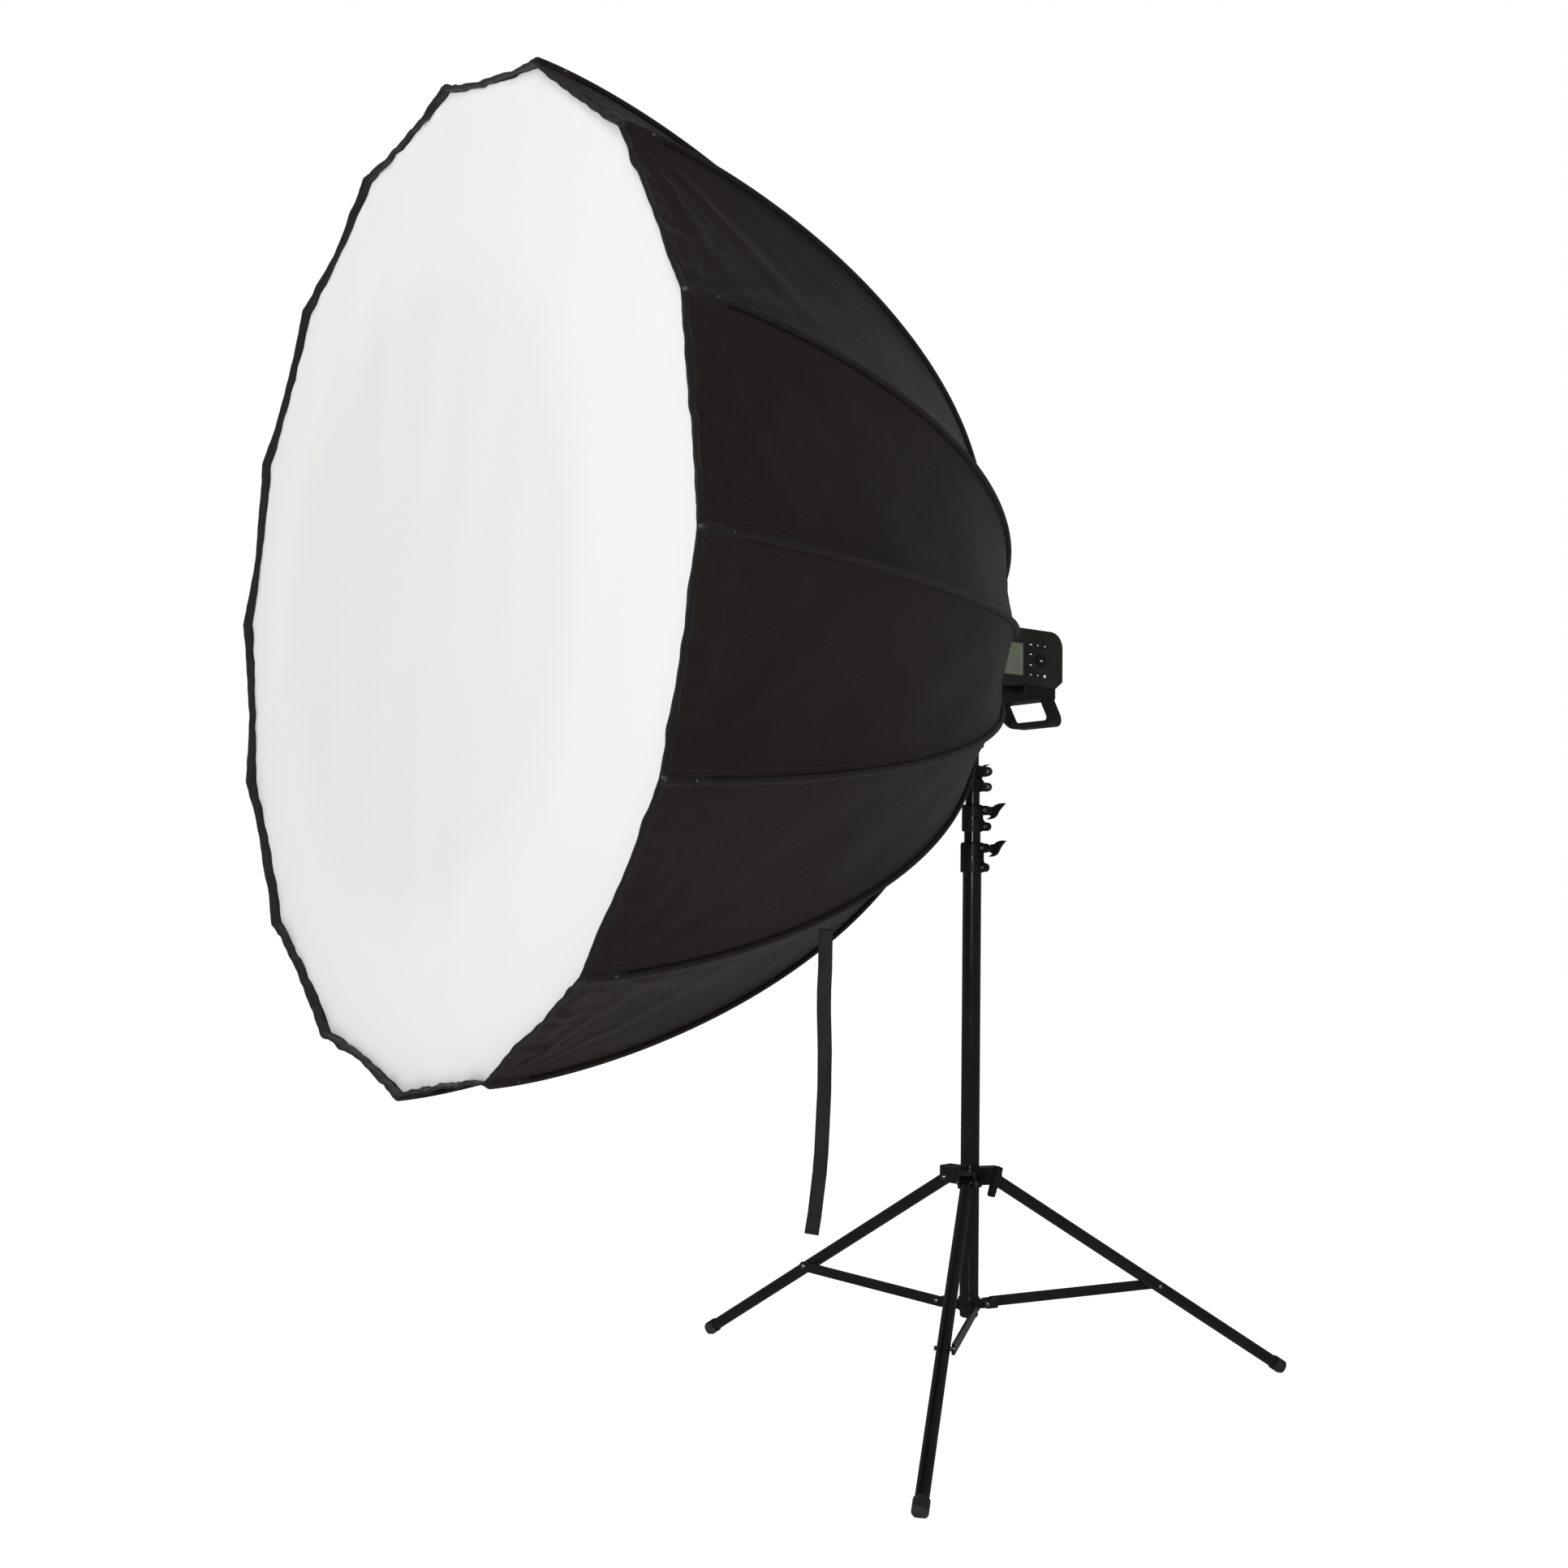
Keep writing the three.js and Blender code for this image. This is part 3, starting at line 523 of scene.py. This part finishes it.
def depth_along(along):
    return np.interp(along, PROFILE_ALONG, PROFILE_DEPTHS)


def profile_normal(depth):
    """Unit outward normal of the profile as (backwards, outwards) parts."""
    step = 1e-4
    slope = (profile_radius(depth) - profile_radius(np.asarray(depth) + step)) / step
    length = np.hypot(1, slope)
    return slope / length, 1 / length


def rod_angle(rod):
    return FIRST_ROD_ANGLE + (rod - 1) * 2 * HALF_PANEL


def outwards(angle):
    """Unit vector from the axis, at an angle from straight up towards +X."""
    return Vector((math.sin(angle), 0, math.cos(angle)))


def sideways(angle):
    return Vector((math.cos(angle), 0, -math.sin(angle)))


def rod_line(rod, start, end, lift=0.0, step=10 * MM):
    """Points along a rod's line between two distances from the mouth, lifted outwards."""
    count = max(2, int((end - start) / step))
    line = []
    for along in np.linspace(start, end, count):
        depth = float(depth_along(along))
        back, out = profile_normal(depth)
        radial = outwards(rod_angle(rod)) * float(profile_radius(depth) + lift * out)
        line.append(Vector((AXIS.x, MOUTH_Y + depth + lift * float(back), AXIS.z)) + radial)
    return line


PANEL_SEEDS = rng.uniform(0, 2 * math.pi, (ROD_COUNT, 12))
PANEL_TEMPER = rng.uniform(0.6, 1.35, (ROD_COUNT, 6))


def creases(panel, across, along, width):
    """How far the cloth of one panel stands out from its smooth shape.

    across runs from -1 to 1 between the panel's rods.
    """
    seed, temper = PANEL_SEEDS[panel], PANEL_TEMPER[panel]
    held = 1 - np.abs(across) ** 3
    place = across * width / 2
    near_hem = np.exp(-(((along - 0.5 * HEM_LINE) / 0.045) ** 2))
    lengths = (0.033, 0.052, 0.085)
    puckers = sum(np.sin(2 * math.pi * place / length + seed[k]) for k, length in enumerate(lengths))
    height = PUCKER_HEIGHT * temper[0] * near_hem * puckers
    for side in (-1, 1):
        reach = np.hypot((1 - side * across) * width / 2, along - 0.02)
        angle = np.arctan2((1 - side * across) * width / 2, along - 0.02 + 1e-6)
        fan = np.sin(angle * 13 + seed[3 + side]) + 0.6 * np.sin(angle * 23 + seed[5 + side])
        fading, growing = np.exp(-reach / 0.24), np.minimum(reach / 0.06, 1)
        height = height + FAN_HEIGHT * temper[2 + side] * fan * fading * growing
    back = np.clip((along - CLOTH_LENGTH + 0.42) / 0.42, 0, 1) ** 1.5
    pleats = np.sin(across * 9 + seed[7]) + 0.7 * np.sin(across * 17 + seed[8])
    height = height + PLEAT_HEIGHT * temper[4] * back * pleats * np.minimum(width / 0.1, 1)
    waves = np.sin(along * 19 + across * 2.3 + seed[9]) * np.sin(across * 3.1 + seed[10])
    middle_swell = np.sin(math.pi * np.clip(along / CLOTH_LENGTH, 0, 1))
    height = height + WAVE_HEIGHT * temper[5] * waves * middle_swell
    return height * held


def rim_wave(panel, across, width):
    """How far the front edge of one panel wanders backwards and forwards."""
    seed = PANEL_SEEDS[panel]
    place = across * width / 2
    slow = np.sin(2 * math.pi * place / 0.14 + seed[11])
    quick = np.sin(2 * math.pi * place / 0.06 + seed[6])
    return RIM_WANDER * (slow + 0.5 * quick) * (1 - across**4)


def panel_surface(rod, lateral, along, lift=0.0):
    """Points of the cloth round one rod. lateral is 0 at the rod and -1 or 1 half way to the next one."""
    depth = depth_along(np.maximum(along, 0))
    back, out = profile_normal(depth)
    base = profile_radius(depth) - CLOTH_INSET * out
    depth = depth - CLOTH_INSET * back + np.minimum(along, 0)
    share, side = np.abs(lateral), np.sign(lateral)
    width = 2 * base * math.sin(HALF_PANEL)
    hollow = width * (0.016 + 0.03 * np.sin(math.pi * np.clip(along / CLOTH_LENGTH, 0, 1)))
    height = -hollow * (2 * share - share**2)
    for panel, chosen, place in (
        ((rod - 1) % ROD_COUNT, side >= 0, share - 1),
        ((rod - 2) % ROD_COUNT, side < 0, 1 - share),
    ):
        height = height + np.where(chosen, creases(panel, place, along, width), 0)
        depth = depth + np.where(chosen, rim_wave(panel, place, width), 0) * np.exp(-((along / 0.04) ** 2))
    height = height + lift
    edge = np.exp(-((along / 0.05) ** 2)) * (2 * share - share**2)
    depth = depth + 5 * MM * edge
    radial = base * (1 - share * math.sin(HALF_PANEL) ** 2)
    tangent = side * share * base * math.cos(HALF_PANEL) * math.sin(HALF_PANEL)
    angle = rod_angle(rod)
    leaning = angle + side * HALF_PANEL
    x = radial * math.sin(angle) + tangent * math.cos(angle) + height * out * np.sin(leaning)
    z = radial * math.cos(angle) - tangent * math.sin(angle) + height * out * np.cos(leaning)
    y = depth + height * back
    return np.stack([AXIS.x + x, MOUTH_Y + y, AXIS.z + z], axis=-1), tangent


def fold_with_rod(piece, rod):
    """The piece swings with its rod, on a mesh of its own."""
    body = f"rod_{rod:02d}"
    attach(piece, body)
    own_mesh(piece)


def cloth_rows(fine, coarse):
    near = np.arange(0, 0.12, fine)
    return np.concatenate((near, np.arange(0.12, CLOTH_LENGTH, coarse), [CLOTH_LENGTH]))


def grid_normals(points):
    """Unit normals of a grid of cloth points, on the side that flipped grid faces show."""
    normals = np.cross(np.gradient(points, axis=0), np.gradient(points, axis=1))
    return normals / np.linalg.norm(normals, axis=-1, keepdims=True)


def make_panel(rod):
    """Outer cloth round one rod, cut across its length into bands."""
    columns = 56
    rows = cloth_rows(5 * MM, 10 * MM)
    lateral, along = np.meshgrid(np.linspace(-1, 1, columns + 1), rows)
    points, tangent = panel_surface(rod, lateral, along)
    uvs = np.stack([tangent, along], axis=-1)
    normals = grid_normals(points)
    edges = [int(np.argmin(np.abs(rows - share * CLOTH_LENGTH))) for share in FOLD_BANDS]
    bands = []
    for number, (first, last) in enumerate(zip(edges, edges[1:]), 1):
        span = slice(first, last + 1)
        faces = grid_faces(last - first + 1, columns + 1, flip=True)
        name = f"shell_panel_{rod:02d}_band_{number}"
        piece = new_piece(name, points[span].reshape(-1, 3), faces, "shell", uvs[span].reshape(-1, 2))
        piece.data.normals_split_custom_set_from_vertices(normals[span].reshape(-1, 3))
        fold_with_rod(piece, rod)
        bands.append(piece)
    return bands[0]


def make_lining(rod):
    """Silver inner cloth, just inside the outer one."""
    columns = 32
    rows = cloth_rows(10 * MM, 20 * MM)[2:]
    lateral, along = np.meshgrid(np.linspace(-1, 1, columns + 1), rows)
    points, tangent = panel_surface(rod, lateral, along, lift=LINING_LIFT)
    uvs = np.stack([tangent, along], axis=-1).reshape(-1, 2)
    faces = grid_faces(len(rows), columns + 1)
    piece = new_piece(f"silver_lining_{rod:02d}", points.reshape(-1, 3), faces, "lining", uvs)
    fold_with_rod(piece, rod)


def make_binding(rod):
    """Tape folded over the front edge."""
    columns = 56
    lateral = np.linspace(-1, 1, columns + 1)
    rings, uvs = [], []
    for index, (along, lift) in enumerate(BINDING_LOOP):
        points, tangent = panel_surface(rod, lateral, np.full_like(lateral, along * MM), lift=lift * MM)
        rings.append(points)
        uvs.append(np.stack([np.full_like(tangent, index * 3 * MM), tangent], axis=-1))
    points = np.stack(rings, axis=1).reshape(-1, 3)
    uvs = np.stack(uvs, axis=1).reshape(-1, 2)
    faces = grid_faces(columns + 1, len(BINDING_LOOP), closed=True)
    piece = new_piece(f"rim_binding_{rod:02d}", points, faces, "binding", uvs)
    fold_with_rod(piece, rod)


def make_sleeve(rod):
    """Round sleeve that holds the rod against the outside of the cloth."""
    path = rod_line(rod, POCKET_LENGTH - 20 * MM, CLOTH_LENGTH - 2 * MM, lift=0.2 * MM)
    section = [(a, b * (1.0 if b > 0 else 0.85)) for a, b in round_section(4.4 * MM, 14)]
    piece = swept(f"rod_sleeve_{rod:02d}", path, sideways(rod_angle(rod)), section, "sleeve")
    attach(piece, f"rod_{rod:02d}")


def make_pocket(rod):
    """Flat pocket that the rod's tip sits in, narrowing from the front edge into the sleeve."""
    rows, columns = 18, 20
    across = np.linspace(-1, 1, columns + 1)
    points, uvs = [], []
    for row in range(rows + 1):
        share = row / rows
        half_width = (9.5 - 4.5 * share) * MM
        along = -1 * MM + (POCKET_LENGTH + 2 * MM) * share
        depth = float(depth_along(max(along, 0))) + min(along, 0)
        back, out = (float(part) for part in profile_normal(max(depth, 0)))
        ends = min(1, row / 2, 0.6 + (rows - row) / 4)
        for place in across:
            drop = abs(place) * half_width * math.tan(HALF_PANEL)
            crown = (1 - abs(place) ** 2.4) * (4.9 * MM + CLOTH_INSET) * (0.3 + 0.7 * ends)
            height = crown - CLOTH_INSET - drop - 0.3 * MM
            radial = outwards(rod_angle(rod)) * (float(profile_radius(max(depth, 0))) + height * out)
            lateral = sideways(rod_angle(rod)) * (place * half_width)
            points.append(Vector((AXIS.x, MOUTH_Y + depth + height * back, AXIS.z)) + radial + lateral)
            uvs.append((place * half_width, along))
    faces = grid_faces(rows + 1, columns + 1, flip=True)
    piece = new_piece(f"rod_pocket_{rod:02d}", points, faces, "sleeve", uvs)
    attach(piece, f"rod_{rod:02d}")


def make_shell():
    panels = [make_panel(rod) for rod in range(1, ROD_COUNT + 1)]
    for rod in range(1, ROD_COUNT + 1):
        make_lining(rod)
        make_binding(rod)
        make_sleeve(rod)
        make_pocket(rod)
    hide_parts("shell_fabric")


def make_diffuser_wedge(index):
    """One wedge of the front cloth, from the axis to the front edge, between a rod and a panel's middle."""
    rod, side = index // 2 + 1, 1 if index % 2 == 0 else -1
    rows, columns = 46, 12
    lateral = side * np.linspace(0, 1, columns + 1)
    rim, _ = panel_surface(rod, lateral, np.full_like(lateral, DIFFUSER_DEPTH), lift=-3.2 * MM)
    centre = np.array([AXIS.x, MOUTH_Y + DIFFUSER_DEPTH, AXIS.z])
    shares = np.concatenate((np.linspace(0, 0.955, rows - 8), np.linspace(0.962, 1, 9)))
    grid = []
    for share in shares:
        ring = centre + (rim - centre) * share
        spread = np.hypot(ring[:, 0] - AXIS.x, ring[:, 2] - AXIS.z)
        angle = np.arctan2(ring[:, 0] - AXIS.x, ring[:, 2] - AXIS.z)
        hem = np.clip((share - 0.955) / 0.045, 0, 1)
        ripple = np.sin(angle * 61 + 2 * np.sin(angle * 7)) + 0.7 * np.sin(angle * 97 + 1.3)
        ripple = 1.1 * MM * ripple * np.exp(-((MOUTH_RADIUS - spread) / 0.03))
        upright = np.sin(ring[:, 0] * 37 + 3 * np.sin(ring[:, 2] * 2.1))
        tall = upright * np.sin(ring[:, 2] * 5 + ring[:, 0] * 4)
        soft = 0.9 * MM * tall * (1 - share**6)
        raised = (1.0 + 2 * (ring[:, 2] - AXIS.z) / MOUTH_RADIUS) * MM
        ring[:, 1] = centre[1] - raised * (0.5 + 0.5 * hem) + ripple + soft
        grid.append(ring)
    points = np.stack(grid).reshape(-1, 3)
    uvs = points[:, (0, 2)]
    faces = grid_faces(len(shares), columns + 1, flip=side > 0)
    piece = new_piece(f"diffuser_wedge_{index + 1:02d}", points, faces, "diffuser", uvs)
    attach(piece, "softbox")
    angle = rod_angle(rod) + side * HALF_PANEL / 2
    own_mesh(piece)
    return piece


def make_baffle_sector(index):
    """One sector of the inner baffle, which hangs inside on cords."""
    rows, columns = 12, 8
    angles = 2 * HALF_PANEL * (index + np.linspace(0, 1, columns + 1))
    points, uvs = [], []
    for share in np.linspace(0, 1, rows + 1):
        for angle in angles:
            spread = share * BAFFLE_RADIUS * 0.998
            slack = 2 * MM * math.sin(angle * 16) * share**3
            x, z = spread * math.sin(angle), spread * math.cos(angle)
            points.append((AXIS.x + x, BAFFLE_Y + slack, AXIS.z + z))
            uvs.append((x, z))
    faces = grid_faces(rows + 1, columns + 1, flip=True)
    piece = new_piece(f"baffle_sector_{index + 1:02d}", points, faces, "diffuser", uvs)
    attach(piece, "softbox")
    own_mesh(piece)
    return piece


def make_front():
    wedges = [make_diffuser_wedge(index) for index in range(2 * ROD_COUNT)]
    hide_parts("front_diffuser")
    sectors = [make_baffle_sector(index) for index in range(ROD_COUNT)]
    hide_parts("inner_baffle")


# ---- tie strap ----

STRAP_TURN = math.radians(53.6)
STRAP_ROUTE = [
    (0, 0),
    (0, 28),
    (0, 56),
    (-1, 84),
    (-1, 112),
    (0, 140),
    (1, 168),
    (1, 196),
    (1, 224),
    (0, 252),
    (-1, 280),
    (-2, 308),
    (-4, 336),
    (-7, 364),
    (-10, 392),
    (-14, 419),
]


def strap_points():
    """The strap's middle line: (sideways, down) in millimetres from where it is sewn on."""
    low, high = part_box("tie_strap")
    flat = Vector((math.cos(STRAP_TURN), math.sin(STRAP_TURN), 0))
    top = Vector((middle("tie_strap").x, middle("tie_strap").y, high.z)) + flat * 6.5 * MM
    return [top + flat * (side * MM) - Vector((0, 0, down * MM)) for side, down in STRAP_ROUTE], flat


def make_strap():
    line, flat = strap_points()
    fine = []
    for a, b in zip(line, line[1:]):
        fine += [a.lerp(b, step / 4) for step in range(4)]
    fine.append(line[-1])
    front = flat.cross(Vector((0, 0, 1)))
    turned_sides = []
    for index, point in enumerate(fine):
        share = index / len(fine)
        sway = 0.12 * math.sin(share * 9) + 0.1 * math.sin(share * 23)
        turned_sides.append(flat + front * sway)
    section = rounded_section(STRAP_WIDTH, 1.5 * MM, 0.6 * MM)
    piece = swept("strap_webbing", fine, turned_sides, section, "strap")
    hem_line = [line[-1].lerp(line[-2], share) + front * 1.6 * MM for share in (0.0, 0.25, 0.5, 0.75, 0.95)]
    hem = swept("strap_hem", hem_line, flat, rounded_section(STRAP_WIDTH * 0.99, 1.4 * MM, 0.6 * MM), "strap")
    for each in (piece, hem):
        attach(each, f"rod_{STRAP_ROD:02d}")
    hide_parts("tie_strap")


# ---- CAD parts that keep their shape ----

NODE_MATERIALS = {
    "tube": ["bottom_tube", "mid_tube", "upper_tube", "top_tube", "leg_1", "leg_2", "leg_3", "brace_"],
    "casting": ["lower_hub", "leg_collar", "collar_knob", "clamp_", "swivel_knob", "tilt_lever"],
    "rubber": ["foot_"],
    "bracket": ["swivel_base", "tilt_bracket", "speedring"],
    "head": ["head_housing"],
    "trim": ["battery_pack", "control_dial"],
    "key": ["button_"],
    "screen": ["screen_panel"],
    "lamp": ["lamp_unit"],
    "rod": ["rod_"],
}


def finish_cad_nodes():
    """Materials, softened edges and smooth round faces for the parts that come from CAD."""
    for material, starts in NODE_MATERIALS.items():
        for name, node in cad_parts.items():
            if not name.startswith(tuple(starts)):
                continue
            node.data.materials.clear()
            node.data.materials.append(MATERIALS[material])
            soften(node, 0.25 * MM if material in ("key", "rod") else 0.8 * MM)


def soften(node, width):
    node.data.polygons.foreach_set("use_smooth", [True] * len(node.data.polygons))
    weld = node.modifiers.new("weld", "WELD")
    weld.merge_threshold = 0.01 * MM
    flat = node.modifiers.new("flat_faces", "DECIMATE")
    flat.decimate_type = "DISSOLVE"
    flat.angle_limit = math.radians(1)
    bevel = node.modifiers.new("edges", "BEVEL")
    bevel.width = width
    bevel.segments = 2
    bevel.limit_method = "ANGLE"
    bevel.angle_limit = math.radians(38)
    normals = node.modifiers.new("normals", "WEIGHTED_NORMAL")
    normals.weight = 100
    normals.keep_sharp = True


# ---- small hardware ----


def dome(name, centre, axis, radius, body, material="steel"):
    """A domed rivet head on a thin washer."""
    profile = [(radius * 1.25, 0), (radius * 1.25, 0.5 * MM), (radius, 0.6 * MM)]
    for step in range(1, 6):
        angle = step / 6 * math.pi / 2
        profile.append((radius * math.cos(angle), 0.6 * MM + 0.55 * radius * math.sin(angle)))
    profile.append((0.1 * MM, 0.6 * MM + 0.55 * radius))
    piece = turned(name, profile, centre, axis, material, 20)
    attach(piece, body)
    return piece


def socket_screw(name, centre, axis, radius, body):
    """A round screw head with a deep hexagon socket."""
    profile = [
        (radius, 0),
        (radius, 1.6 * MM),
        (radius - 0.4 * MM, 2 * MM),
        (radius * 0.5, 2 * MM),
        (radius * 0.5, 0.8 * MM),
        (0.1 * MM, 0.8 * MM),
    ]
    piece = turned(name, profile, centre, axis, "steel", 24)
    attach(piece, body)
    return piece


def leg_frame(azimuth):
    angle = math.radians(azimuth)
    return Vector((math.cos(angle), math.sin(angle), 0)), Vector((-math.sin(angle), math.cos(angle), 0))


def in_leg_plane(azimuth, radial, tangential, height):
    out, side = leg_frame(azimuth)
    return STAND + out * radial + side * tangential + Vector((0, 0, height))


def make_rivets():
    slope = math.atan2(LEG_PIVOT[1] - FOOT_END[1], FOOT_END[0] - LEG_PIVOT[0])
    length = math.hypot(LEG_PIVOT[1] - FOOT_END[1], FOOT_END[0] - LEG_PIVOT[0])
    joint = (
        LEG_PIVOT[0] + BRACE_SHARE * length * math.cos(slope),
        LEG_PIVOT[1] - BRACE_SHARE * length * math.sin(slope),
    )
    along = Vector((joint[0] - BRACE_PIVOT[0], 0, joint[1] - BRACE_PIVOT[1])).normalized()
    second = (BRACE_PIVOT[0] + along.x * 25 * MM, BRACE_PIVOT[1] + along.z * 25 * MM)
    for leg, azimuth in enumerate(LEG_AZIMUTHS, 1):
        side = leg_frame(azimuth)[1]
        rivets = (
            ("collar_rivet_right", LEG_PIVOT, -16.1, -1, 4.2, "collar"),
            ("collar_rivet_left", LEG_PIVOT, 16.1, 1, 4.2, "collar"),
            ("leg_rivet", joint, -13.0, -1, 3.6, f"leg_{leg}"),
            ("brace_rivet", joint, BRACE_FACES[1], 1, 4.0, f"brace_{leg}"),
            ("hub_rivet_left", BRACE_PIVOT, BRACE_FACES[0] + FORK_CHEEK, 1, 3.6, f"brace_{leg}"),
            ("hub_rivet_right", BRACE_PIVOT, -FORK_CHEEK, -1, 3.6, f"brace_{leg}"),
            ("brace_second_rivet", second, BRACE_FACES[1], 1, 3.4, f"brace_{leg}"),
        )
        for name, (radial, height), tangential, way, radius, body in rivets:
            centre = in_leg_plane(azimuth, radial, tangential * MM, height)
            dome(f"{name}_{leg}", centre, side * way, radius * MM, body)


def make_clamp_screws():
    """Bolt heads on the near side of each pair of bosses, and nuts on the far side of the lower pair."""
    bodies = ("column", "mid_stage", "upper_stage")
    for clamp, (azimuth, body) in enumerate(zip(CLAMP_AZIMUTHS, bodies), 1):
        side = leg_frame(azimuth)[1]
        low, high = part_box(f"clamp_sleeve_{clamp}")
        spots = (
            ("upper_bolt", -6.5, high.z - 10.5 * MM, 4.4),
            ("lower_bolt", -5.5, low.z + 9 * MM, 3.6),
            ("lower_nut", 5.5, low.z + 9 * MM, 3.6),
        )
        for name, tangential, height, radius in spots:
            centre = in_leg_plane(azimuth, CLAMP_REACH, tangential * MM, height)
            socket_screw(f"{name}_{clamp}", centre, side * math.copysign(1, tangential), radius * MM, body)


# ---- flash head details ----


def make_panel_marks():
    """Plain printed dashes, dots and one silver key cap, with no lettering."""
    dash, dot, cap = (5.6, 2.0), (2.9, 2.9), (5.8, 5.8)
    marks = (dash, dot, dot, dash, dash, dot, dot, cap)
    for index, (wide, tall) in enumerate(marks, 1):
        spot = middle(f"button_{index}")
        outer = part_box(f"button_{index}")[1].x
        corner = min(wide, tall) * 0.48 * MM
        centre = (outer + 0.1 * MM, spot.y, spot.z)
        mark_bar(f"button_mark_{index}", centre, wide * MM, tall * MM, corner, f"button_{index}")
    dial = middle("control_dial")
    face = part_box("control_dial")[1].x - 1.3 * MM
    mark_bar("dial_mark", (face, dial.y, dial.z), 5 * MM, 2 * MM, 0.9 * MM, "dial")


def mark_bar(name, centre, wide, tall, corner, body):
    """A thin printed patch with round corners on the right-hand side of the head."""
    outline = rounded_section(wide, tall, corner, 4)
    points = []
    for lift, shrink in ((-0.1 * MM, 1.0), (0.1 * MM, 1.0), (0.2 * MM, 0.86)):
        for a, b in outline:
            points.append(Vector(centre) + Vector((lift, a * shrink, b * shrink)))
    count = len(outline)
    faces = grid_faces(3, count, closed=True)
    faces.append(tuple(range(count))[::-1])
    faces.append(tuple(range(2 * count, 3 * count)))
    piece = new_piece(name, points, faces, "ink")
    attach(piece, body)


def make_head_details():
    """Rear vent slots and the front lock ring."""
    mid = middle("head_housing")
    for slot in range(7):
        height = HEAD_TOP - 42 * MM - slot * 6 * MM
        path = [(mid.x - 0.035, HEAD_BACK + 0.1 * MM, height), (mid.x + 0.035, HEAD_BACK + 0.1 * MM, height)]
        section = rounded_section(0.8 * MM, 2.6 * MM, 0.3 * MM)
        vent = swept(f"rear_vent_{slot + 1}", path, Vector((0, 1, 0)), section, "key")
        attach(vent, "head")
    centre = Vector((AXIS.x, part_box("head_housing")[0].y + 9 * MM, AXIS.z))
    corners = ((58.1, -4), (60.2, -3.4), (60.6, 0), (60.2, 3.4), (58.1, 4))
    profile = [(radius * MM, height * MM) for radius, height in corners]
    ring = turned("front_lock_ring", profile, centre, (0, 1, 0), "trim", 96)
    ring.data.polygons[-1].use_smooth = False
    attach(ring, "head")


# ---- studio ----


def studio_light(name, place, target, size, power, color=(1, 1, 1)):
    data = bpy.data.lights.new(name, "AREA")
    data.shape = "RECTANGLE"
    data.size, data.size_y = size
    data.energy = power
    data.color = color
    light = bpy.data.objects.new(name, data)
    light.location = place
    light.rotation_mode = "QUATERNION"
    light.rotation_quaternion = (Vector(target) - Vector(place)).to_track_quat("-Z", "Y")
    light.visible_camera = False
    bpy.context.scene.collection.objects.link(light)


def make_studio():
    """White all round for the camera, soft sky light, dark reflections, a front key light and two strips."""
    world = bpy.data.worlds.new("studio")
    bpy.context.scene.world = world
    world.use_nodes = True
    tree = world.node_tree
    path = tree.nodes.new("ShaderNodeLightPath")
    unseen = tree.nodes.new("ShaderNodeMapRange")
    unseen.inputs["To Min"].default_value = SKY_LIGHT
    unseen.inputs["To Max"].default_value = SKY_IN_REFLECTIONS
    tree.links.new(path.outputs["Is Glossy Ray"], unseen.inputs["Value"])
    strength = tree.nodes.new("ShaderNodeMath")
    strength.operation = "MAXIMUM"
    tree.links.new(path.outputs["Is Camera Ray"], strength.inputs[0])
    tree.links.new(unseen.outputs["Result"], strength.inputs[1])
    tree.links.new(strength.outputs["Value"], tree.nodes["Background"].inputs["Strength"])
    tree.nodes["Background"].inputs["Color"].default_value = (1, 1, 1, 1)
    bpy.ops.mesh.primitive_plane_add(size=40, location=(0, 0, 0))
    floor = bpy.context.object
    floor.name = "floor"
    graph = Graph("floor_paper", shade(0.93), 0.9, Specular_IOR_Level=0.1)
    graph.set("Emission Color", (1, 1, 1, 1))
    graph.set("Emission Strength", 0.8)
    floor.data.materials.append(graph.material)
    floor.visible_glossy = False
    target = (0, 0, 1.3)
    studio_light("key", (-1.2, -4.4, 2.6), target, (2.6, 2.6), 50)
    studio_light("side", (3.2, -3.6, 3.0), target, (0.7, 2.4), 34)
    column_middle = STAND + Vector((0, 0, 1.0))
    studio_light("front_strip", STAND + Vector((3.1, -2.85, 2.1)), column_middle, (0.8, 2.2), 45)
    settings = bpy.context.scene.view_settings
    settings.view_transform = "Standard"
    settings.look = "None"


make_camera()
make_strap()
make_shell()
make_front()
finish_cad_nodes()
make_rivets()
make_clamp_screws()
make_panel_marks()
make_head_details()
make_studio()
